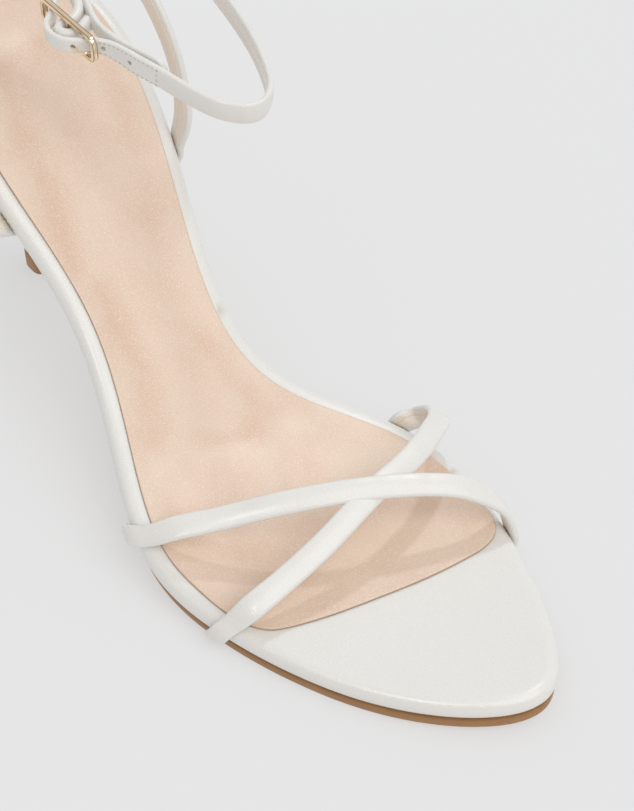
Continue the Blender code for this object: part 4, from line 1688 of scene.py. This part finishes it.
@dataclass
class HeelStrap:
    """The strap round the back of the heel."""

    last: Last
    width: float = 7.0
    thick: float = 1.8
    outer: Wrap = Wrap(Side.OUTER, (67.2, 66.6), (-100.0, -66.0))
    inner: Wrap = Wrap(Side.INNER, (68.4, 65.8), (-72.0, 6.0))
    # Middle line: x, y, z, the direction across the strap.
    line: Table = (
        (65.6, -33.2, 61.4, 0.84, 0.00, -0.50),
        (64.2, -36.4, 65.6, 0.92, 0.00, -0.24),
        (62.2, -37.4, 73.0, 0.97, 0.00, 0.10),
        (58.2, -37.2, 82.0, 0.88, -0.02, 0.40),
        (52.2, -36.0, 91.2, 0.78, -0.06, 0.60),
        (43.0, -33.4, 101.6, 0.68, -0.14, 0.72),
        (28.6, -27.4, 113.0, 0.50, -0.22, 0.84),
        (13.2, -17.4, 121.2, 0.32, -0.14, 0.94),
        (5.2, -0.8, 124.6, 0.24, 0.00, 0.97),
        (13.2, 15.0, 121.2, 0.32, 0.14, 0.94),
        (28.6, 22.6, 113.0, 0.50, 0.20, 0.84),
        (43.0, 26.0, 102.0, 0.68, 0.12, 0.72),
        (53.0, 27.0, 92.4, 0.78, 0.06, 0.62),
        (59.4, 27.0, 84.0, 0.86, 0.02, 0.48),
        (63.8, 26.2, 75.0, 0.94, 0.00, 0.28),
        (66.0, 24.6, 67.0, 0.98, 0.00, 0.10),
    )

    def build(self, recipe: Recipe, finish: Material) -> None:
        """Make the strap.

        Args:
            recipe: Tree for straps.
            finish: Its leather.
        """
        outer, inner = (wrap.rows(self.last, self.thick) for wrap in (self.outer, self.inner))
        middle = np.column_stack([np.array(self.line), np.full(len(self.line), self.width)])
        rows = np.concatenate([outer, middle, inner[::-1]])
        strap = Strap("back_strap", rows, self.width, self.thick)
        add_piece(strap.name, strap.mesh(recipe, finish), finish, Slot.WHITE, "heel_strap")


@dataclass
class AnkleStrap:
    """The slack ankle strap with its punched, stitched end, and the loop that holds the buckle."""

    width: float = 6.0
    thick: float = 1.5
    hole_radius: float = 0.62
    hole_places: tuple[float, ...] = (22.4, 29.6, 37.4)
    # Depth of the punch as a share of the thickness.
    hole_depth: float = 3.0
    # Seam of the holed end: distance from the edge, start, end, height above the face, and points
    # along each side and across its end.
    seam_margin: float = 0.7
    seam_start: float = 26.0
    seam_end: float = 45.2
    seam_lift: float = 0.02
    seam_points: int = 60
    end_points: int = 9
    pitch: float = 1.25
    stitch: float = 0.85
    thread: float = 0.13
    chape_width: float = 4.0
    chape_thick: float = 2.6
    chape_across: Triple = (0.0, 0.0, 1.0)
    # Middle line from the holed end to the end under the buckle: x, y, z, direction across, width.
    line: Table = (
        (53.4, -1.5, 107.8, 0.00, 0.05, 1.00, 4.0),
        (56.0, -3.0, 107.3, 0.00, 0.02, 1.00, 4.0),
        (59.2, -6.0, 107.1, 0.00, 0.00, 1.00, 4.0),
        (62.2, -9.0, 107.1, 0.00, 0.00, 1.00, 4.0),
        (66.4, -10.3, 107.1, 0.00, 0.00, 1.00, 4.0),
        (70.8, -8.9, 107.1, 0.00, 0.00, 1.00, 4.0),
        (73.8, -5.4, 107.1, 0.00, 0.00, 1.00, 4.0),
        (76.8, -2.0, 106.7, 0.00, 0.00, 1.00, 4.4),
        (83.8, 0.7, 105.5, 0.00, -0.04, 1.00, 6.0),
        (91.0, 3.2, 104.3, 0.00, -0.06, 1.00, 6.0),
        (102.4, 6.9, 102.4, 0.04, -0.08, 1.00, 6.0),
        (109.2, 10.8, 101.4, 0.10, -0.06, 1.00, 6.0),
        (112.2, 16.2, 100.9, 0.12, 0.00, 1.00, 6.0),
        (109.2, 21.8, 100.9, 0.10, 0.08, 1.00, 6.0),
        (103.6, 25.3, 101.2, 0.05, 0.10, 1.00, 6.0),
        (91.4, 29.8, 102.3, 0.00, 0.10, 1.00, 6.0),
        (74.2, 33.2, 104.6, 0.02, 0.10, 1.00, 6.0),
        (58.0, 34.6, 108.0, 0.08, 0.10, 1.00, 6.0),
        (40.0, 32.8, 114.2, 0.16, 0.08, 0.98, 6.0),
        (24.0, 26.6, 120.0, 0.20, 0.06, 0.97, 6.0),
        (11.0, 15.8, 124.0, 0.22, 0.06, 0.97, 6.0),
        (3.3, -0.4, 125.4, 0.24, 0.00, 0.97, 6.0),
        (9.6, -17.6, 124.2, 0.22, -0.06, 0.97, 6.0),
        (20.0, -25.6, 122.0, 0.18, -0.04, 0.98, 6.0),
        (32.0, -28.0, 119.2, 0.14, 0.00, 0.98, 6.0),
        (42.0, -22.5, 116.0, 0.10, 0.00, 0.99, 6.0),
        (48.6, -9.5, 113.0, 0.06, 0.00, 1.00, 5.2),
        (53.0, 0.6, 110.8, 0.02, 0.00, 1.00, 4.8),
        (57.4, 3.2, 109.4, 0.02, 0.00, 1.00, 4.6),
        (62.8, 2.2, 108.4, 0.00, 0.00, 1.00, 4.6),
        (69.4, 0.4, 107.5, 0.00, 0.00, 1.00, 4.6),
        (76.6, 0.6, 106.8, 0.00, 0.00, 1.00, 4.8),
        (83.4, 3.0, 105.6, 0.00, -0.04, 1.00, 5.2),
        (90.6, 5.6, 104.5, 0.00, -0.06, 1.00, 5.2),
    )
    # The strip round the buckle's middle bar: x, y, z.
    chape: Table = (
        (58.0, 1.6, 108.9),
        (60.8, 0.9, 108.3),
        (63.0, -0.8, 107.6),
        (64.0, -3.0, 107.2),
        (64.0, -5.4, 107.1),
        (64.8, -7.1, 107.1),
        (66.4, -7.8, 107.1),
        (68.1, -7.1, 107.1),
        (68.8, -5.4, 107.1),
        (68.3, -3.4, 107.1),
        (67.2, -1.6, 107.1),
        (66.4, 0.0, 107.2),
    )
    creases: Table = ((66.0, 0.08, 1.6), (70.5, 0.12, 1.2), (75.0, 0.08, 1.4))

    def __post_init__(self) -> None:
        """Lay out the strap and the loop."""
        self.strap = Strap(
            "ankle_strap_leather",
            np.array(self.line),
            self.width,
            self.thick,
            pad=0.22,
            flip=True,
            rounded=(True, True),
            lining_margin=1.3,
            lining_share=0.1,
            creases=self.creases,
            flat_until=self.seam_end,
        )
        same = np.tile((*self.chape_across, self.chape_width), (len(self.chape), 1))
        self.loop = Strap(
            "buckle_loop",
            np.column_stack([np.array(self.chape), same]),
            self.chape_width,
            self.chape_thick,
            pad=0.05,
            flip=True,
            step=0.3,
            lining_margin=1.9,
            lining_lift=0.0,
            lining_share=0.0,
            lining_seam=(0.0, 0.02),
        )

    def punched(self, mesh: Mesh, recipe: Recipe, finish: Material) -> Mesh:
        """The strap with its holes.

        Args:
            mesh: The whole strap.
            recipe: Tree for holes.
            finish: Its leather.

        Returns:
            The punched strap.
        """
        places = np.array(self.hole_places)
        centres = self.strap.on_face(places, np.zeros(len(places)), -self.thick / 2)
        points = line_mesh("hole_centres", to_part(centres))
        ways = [self.strap.outward[np.argmin(np.abs(self.strap.stations - at))] for at in self.hole_places]
        set_values(points, "outward", np.array(ways))
        carrier = link_new("hole_centres", points)
        made = recipe.run(
            mesh.name,
            mesh,
            Centres=carrier,
            Radius=self.hole_radius * MM,
            Depth=self.thick * self.hole_depth * MM,
            Finish=finish,
        )
        bpy.data.objects.remove(carrier, do_unlink=True)
        return finish_mesh(made)

    def seams(self) -> dict[str, Array]:
        """Lines of stitches on the holed end.

        Returns:
            Rows of x, y and z for each named line.
        """
        strap = self.strap
        at = np.linspace(self.seam_start, self.seam_end, self.seam_points)
        offset = np.interp(at, strap.stations, strap.half) - self.seam_margin
        edge = self.width / 2 - self.seam_margin
        end = np.full(self.end_points, self.seam_end)
        return {
            "upper": strap.on_face(at, offset, self.seam_lift),
            "lower": strap.on_face(at, -offset, self.seam_lift),
            "end": strap.on_face(end, np.linspace(-edge, edge, self.end_points), self.seam_lift),
        }

    def build(
        self,
        sweep: Recipe,
        punch: Recipe,
        sew: Recipe,
        leather: Material,
        thread: Material,
    ) -> None:
        """Make the strap, its seams and the buckle's loop.

        Args:
            sweep: Tree for straps.
            punch: Tree for holes.
            sew: Tree for stitches.
            leather: Finish of the straps.
            thread: Finish of the stitches.
        """
        whole = self.strap.mesh(sweep, leather)
        add_piece(self.strap.name, self.punched(whole, punch, leather), leather, Slot.WHITE, "ankle_strap")
        add_piece(self.loop.name, self.loop.mesh(sweep, leather), leather, Slot.WHITE, "buckle_chape")
        for name, line in self.seams().items():
            mesh = sew.run(
                f"ankle_seam_{name}",
                line_mesh("seam", to_part(line)),
                Pitch=self.pitch * MM,
                Stitch_Length=self.stitch * MM,
                Thread_Radius=self.thread * MM,
                Finish=thread,
            )
            add_piece(f"ankle_seam_{name}", finish_mesh(mesh), thread, Slot.WHITE)


@dataclass
class Buckle:
    """Gold frame with a rod across its middle, and the pin."""

    middle: Triple = (65.9, -5.2, 107.1)
    size: Triple = (23.6, 1.5, 7.0)
    wire: float = 1.2
    corner: float = 1.7
    edge: float = 0.22
    rod_x: float = 66.4
    rod_radius: float = 0.8
    frame_sharp: float = 35.0
    # The pin's radius, its sides and rings, the extra rings by its ends, half the span that
    # directions are measured over, the length of its soft ends and their least size, squared.
    pin_radius: float = 0.38
    sides: int = 20
    pin_rings: int = 40
    pin_ends: Range = (0.06, 0.15)
    pin_span: float = 0.1
    pin_soft: float = 0.3
    pin_least: float = 0.2
    # The pin from the rod to the frame's front end: x, y, z.
    pin: Table = (
        (67.6, -5.5, 107.0),
        (69.4, -6.7, 106.9),
        (71.6, -7.8, 106.8),
        (73.8, -8.1, 106.7),
        (75.4, -7.6, 106.7),
        (76.6, -6.9, 107.0),
    )

    def build(self, recipe: Recipe, finish: Material) -> None:
        """Make the frame and the pin.

        Args:
            recipe: Tree for the frame.
            finish: Its metal.
        """
        mesh = recipe.run(
            "gold_frame",
            bpy.data.meshes.new("empty"),
            Length=self.size[0] * MM,
            Height=self.size[2] * MM,
            Wire=self.wire * MM,
            Thickness=self.size[1] * MM,
            Corner=self.corner * MM,
            Edge=self.edge * MM,
            Rod_Place=(self.rod_x - self.middle[0]) * MM,
            Rod_Radius=self.rod_radius * MM,
            Finish=finish,
        )
        place = np.empty(len(mesh.vertices) * 3)
        mesh.vertices.foreach_get("co", place)
        moved = place.reshape(-1, 3) + to_part(np.array(self.middle))
        mesh.vertices.foreach_set("co", moved.ravel())
        add_piece("gold_frame", finish_mesh(mesh, self.frame_sharp), finish, Slot.GOLD, "buckle_frame")
        add_piece("gold_pin", self.pin_mesh(), finish, Slot.GOLD, "buckle_prong")

    def pin_mesh(self) -> Mesh:
        """Round pin with soft ends.

        Returns:
            The finished mesh.
        """
        table = np.array(self.pin)
        reach = run_length(table)
        line = Spline(reach, table)
        at = np.linspace(0, reach[-1], self.pin_rings)
        ends = np.array(self.pin_ends)
        at = np.unique(np.concatenate([at, ends, reach[-1] - ends]))
        along = unit(line(at + self.pin_span) - line(at - self.pin_span))
        up = unit(UP - along * (along @ UP)[:, None])
        side = np.cross(up, along)
        away = np.minimum(at, reach[-1] - at)
        share = np.clip(1 - away / self.pin_soft, 0, 1)
        size = self.pin_radius * np.sqrt(np.clip(1 - share**2, self.pin_least, 1))
        turns = np.linspace(0, 2 * math.pi, self.sides, endpoint=False)
        loft = Loft("gold_pin")
        for k, point in enumerate(line(at)):
            circle = np.outer(np.cos(turns), up[k]) + np.outer(np.sin(turns), side[k])
            loft.add(point + size[k] * circle)
        return loft.mesh(caps=True)


@dataclass(frozen=True)
class Sun:
    """An even light from far away: the direction that it comes from and its width in degrees."""

    name: str
    source: Triple
    strength: float
    angle: float
    colour: Colour
    # Whether it lights the floor, shows in gloss and lights matt surfaces.
    lights_floor: bool = True
    gloss: bool = True
    body: bool = True

    def build(self, floor: bpy.types.Object) -> None:
        """Add the light.

        Args:
            floor: The floor, which some lights leave alone.
        """
        data = bpy.data.lights.new(self.name, "SUN")
        data.energy = self.strength
        data.angle = math.radians(self.angle)
        data.color = self.colour
        light = link_new(self.name, data)
        light.rotation_mode = "QUATERNION"
        light.rotation_quaternion = Vector(self.source).to_track_quat("Z", "Y")
        light.location = Vector(self.source)
        light.visible_glossy = self.gloss
        light.visible_diffuse = self.body
        if not self.lights_floor:
            spared = bpy.data.collections.new(f"{self.name}_spares")
            spared.objects.link(floor)
            spared.collection_objects[0].light_linking.link_state = "EXCLUDE"
            light.light_linking.receiver_collection = spared


@dataclass
class Studio:
    """Camera at the photograph's angle, pale floor and soft light."""

    eye: Triple = (380.6, -171.3, 345.5)
    target: Triple = (128.41, 20.88, 13.31)
    sensor: float = 36.0
    clip: Range = (0.01, 60.0)
    lens: float = 77.67
    roll: float = -0.13
    floor_size: float = 30.0
    floor_drop: float = 0.05
    floor_colour: Colour = (0.338, 0.345, 0.358)
    floor_glow: float = 0.491
    sky: float = 0.63
    sky_colour: Colour = (1.015, 1.0, 0.975)
    suns: tuple[Sun, ...] = (
        Sun("key", (-0.466, 0.412, 0.783), 0.58, 4.0, (0.88, 1.02, 1.14), lights_floor=False, gloss=False),
        Sun("front", (0.6, 0.02, 0.8), 0.97, 50.0, (1.03, 1.0, 0.955)),
        Sun("strip", (0.24, -0.57, 0.79), 0.42, 12.0, (1.0, 1.0, 1.0), lights_floor=False, body=False),
        Sun("top", (-0.04, 0.42, 0.89), 0.3, 12.0, (1.0, 1.0, 1.0), lights_floor=False, body=False),
    )

    def build(self) -> None:
        """Set the stage."""
        self.add_camera()
        floor = self.add_floor()
        for sun in self.suns:
            sun.build(floor)
        world = bpy.data.worlds.new("studio")
        world.use_nodes = True
        sky = world.node_tree.nodes["Background"].inputs
        sky["Color"].default_value = (*self.sky_colour, 1.0)
        sky["Strength"].default_value = self.sky
        bpy.context.scene.world = world
        bpy.context.scene.view_settings.view_transform = "Standard"

    def add_camera(self) -> None:
        """Point the camera as the photograph was taken."""
        data = bpy.data.cameras.new("camera")
        data.lens = self.lens
        data.sensor_width = self.sensor
        data.clip_start, data.clip_end = self.clip
        camera = link_new("camera", data)
        eye, target = (Vector(to_part(np.array(p))) for p in (self.eye, self.target))
        look = (target - eye).to_track_quat("-Z", "Y")
        camera.rotation_mode = "QUATERNION"
        camera.location = eye
        camera.rotation_quaternion = look @ Quaternion((0.0, 0.0, 1.0), math.radians(self.roll))
        bpy.context.scene.camera = camera

    def add_floor(self) -> bpy.types.Object:
        """Lay the floor just under the sole.

        Returns:
            The floor.
        """
        half = self.floor_size / 2
        low = -self.floor_drop * MM
        mesh = bpy.data.meshes.new("floor")
        corners = [(-half, -half, low), (half, -half, low), (half, half, low), (-half, half, low)]
        mesh.from_pydata(corners, [], [(0, 1, 2, 3)])
        floor = link_new("floor", mesh)
        paper = Surface("floor_paper")
        paper.feed("Base Color", self.floor_colour)
        paper.feed("Roughness", 1.0)
        paper.feed("Specular IOR Level", 0.0)
        paper.feed("Emission Color", (1.0, 1.0, 1.0))
        paper.feed("Emission Strength", self.floor_glow)
        mesh.materials.append(paper.made)
        return floor


WHITE = LeatherFinish(
    "white_leather_finish",
    face=(0.79, 0.781, 0.757),
    shade=(0.77, 0.761, 0.735),
    lining=(0.85, 0.765, 0.67),
    # Colour of the cut edge and seams, which also paints shade into the rim's pleats.
    cut=(0.5, 0.42, 0.33),
    grain=0.5,
    depth=0.07,
    roughness=0.31,
    coat=0.4,
    # Colour of the painted glints.
    painted_glint=(0.84, 0.832, 0.806),
    painted_glint_share=0.6,
)
BLUSH = LeatherFinish(
    "blush_leather_finish",
    face=(0.765, 0.605, 0.485),
    # Darker colour of the clouds and of the painted shade in the troughs.
    shade=(0.715, 0.505, 0.385),
    lining=(0.715, 0.505, 0.385),
    # Dark colour of the raw edge, partly a painted shadow line along the sock's rim.
    cut=(0.42, 0.28, 0.18),
    grain=0.55,
    depth=0.09,
    roughness=0.42,
    coat=0.3,
    # Colour of the painted glints.
    painted_glint=(0.9, 0.76, 0.65),
    painted_glint_share=0.7,
)
TAN = SoleFinish("tan_sole_finish", face=(0.40, 0.205, 0.078), streak=(0.32, 0.16, 0.06), roughness=0.45)
GOLD = MetalFinish(
    "pale_gold_finish",
    face=(0.95, 0.77, 0.56),
    # Colour of the painted dark reflections.
    shade=(0.3, 0.19, 0.1),
    roughness=0.14,
    middle=-4.725,
    dark_reflection_lines=(0.5, 0.66),
)
THREAD = ThreadFinish("thread_finish", face=(0.62, 0.6, 0.56), shade=(0.42, 0.4, 0.37))


def main() -> None:
    """Build the shoe in order and keep its size."""
    logging.basicConfig(level=logging.INFO, format="%(name)s: %(message)s")
    Studio().build()
    white, blush, tan, gold, thread = (f.material() for f in (WHITE, BLUSH, TAN, GOLD, THREAD))
    last = Last()
    sweep, sew = strap_recipe(), stitch_recipe()
    footbed = Footbed(last)
    footbed.build_wrap(white)
    footbed.build_sole(tan)
    SockLining(last).build(blush)
    Heel(last).build(white, tan)
    ToeStraps(last).build(sweep, white)
    HeelStrap(last).build(sweep, white)
    AnkleStrap().build(sweep, punch_recipe(), sew, white, thread)
    Buckle().build(buckle_recipe(), gold)


if __name__ == "__main__":
    main()
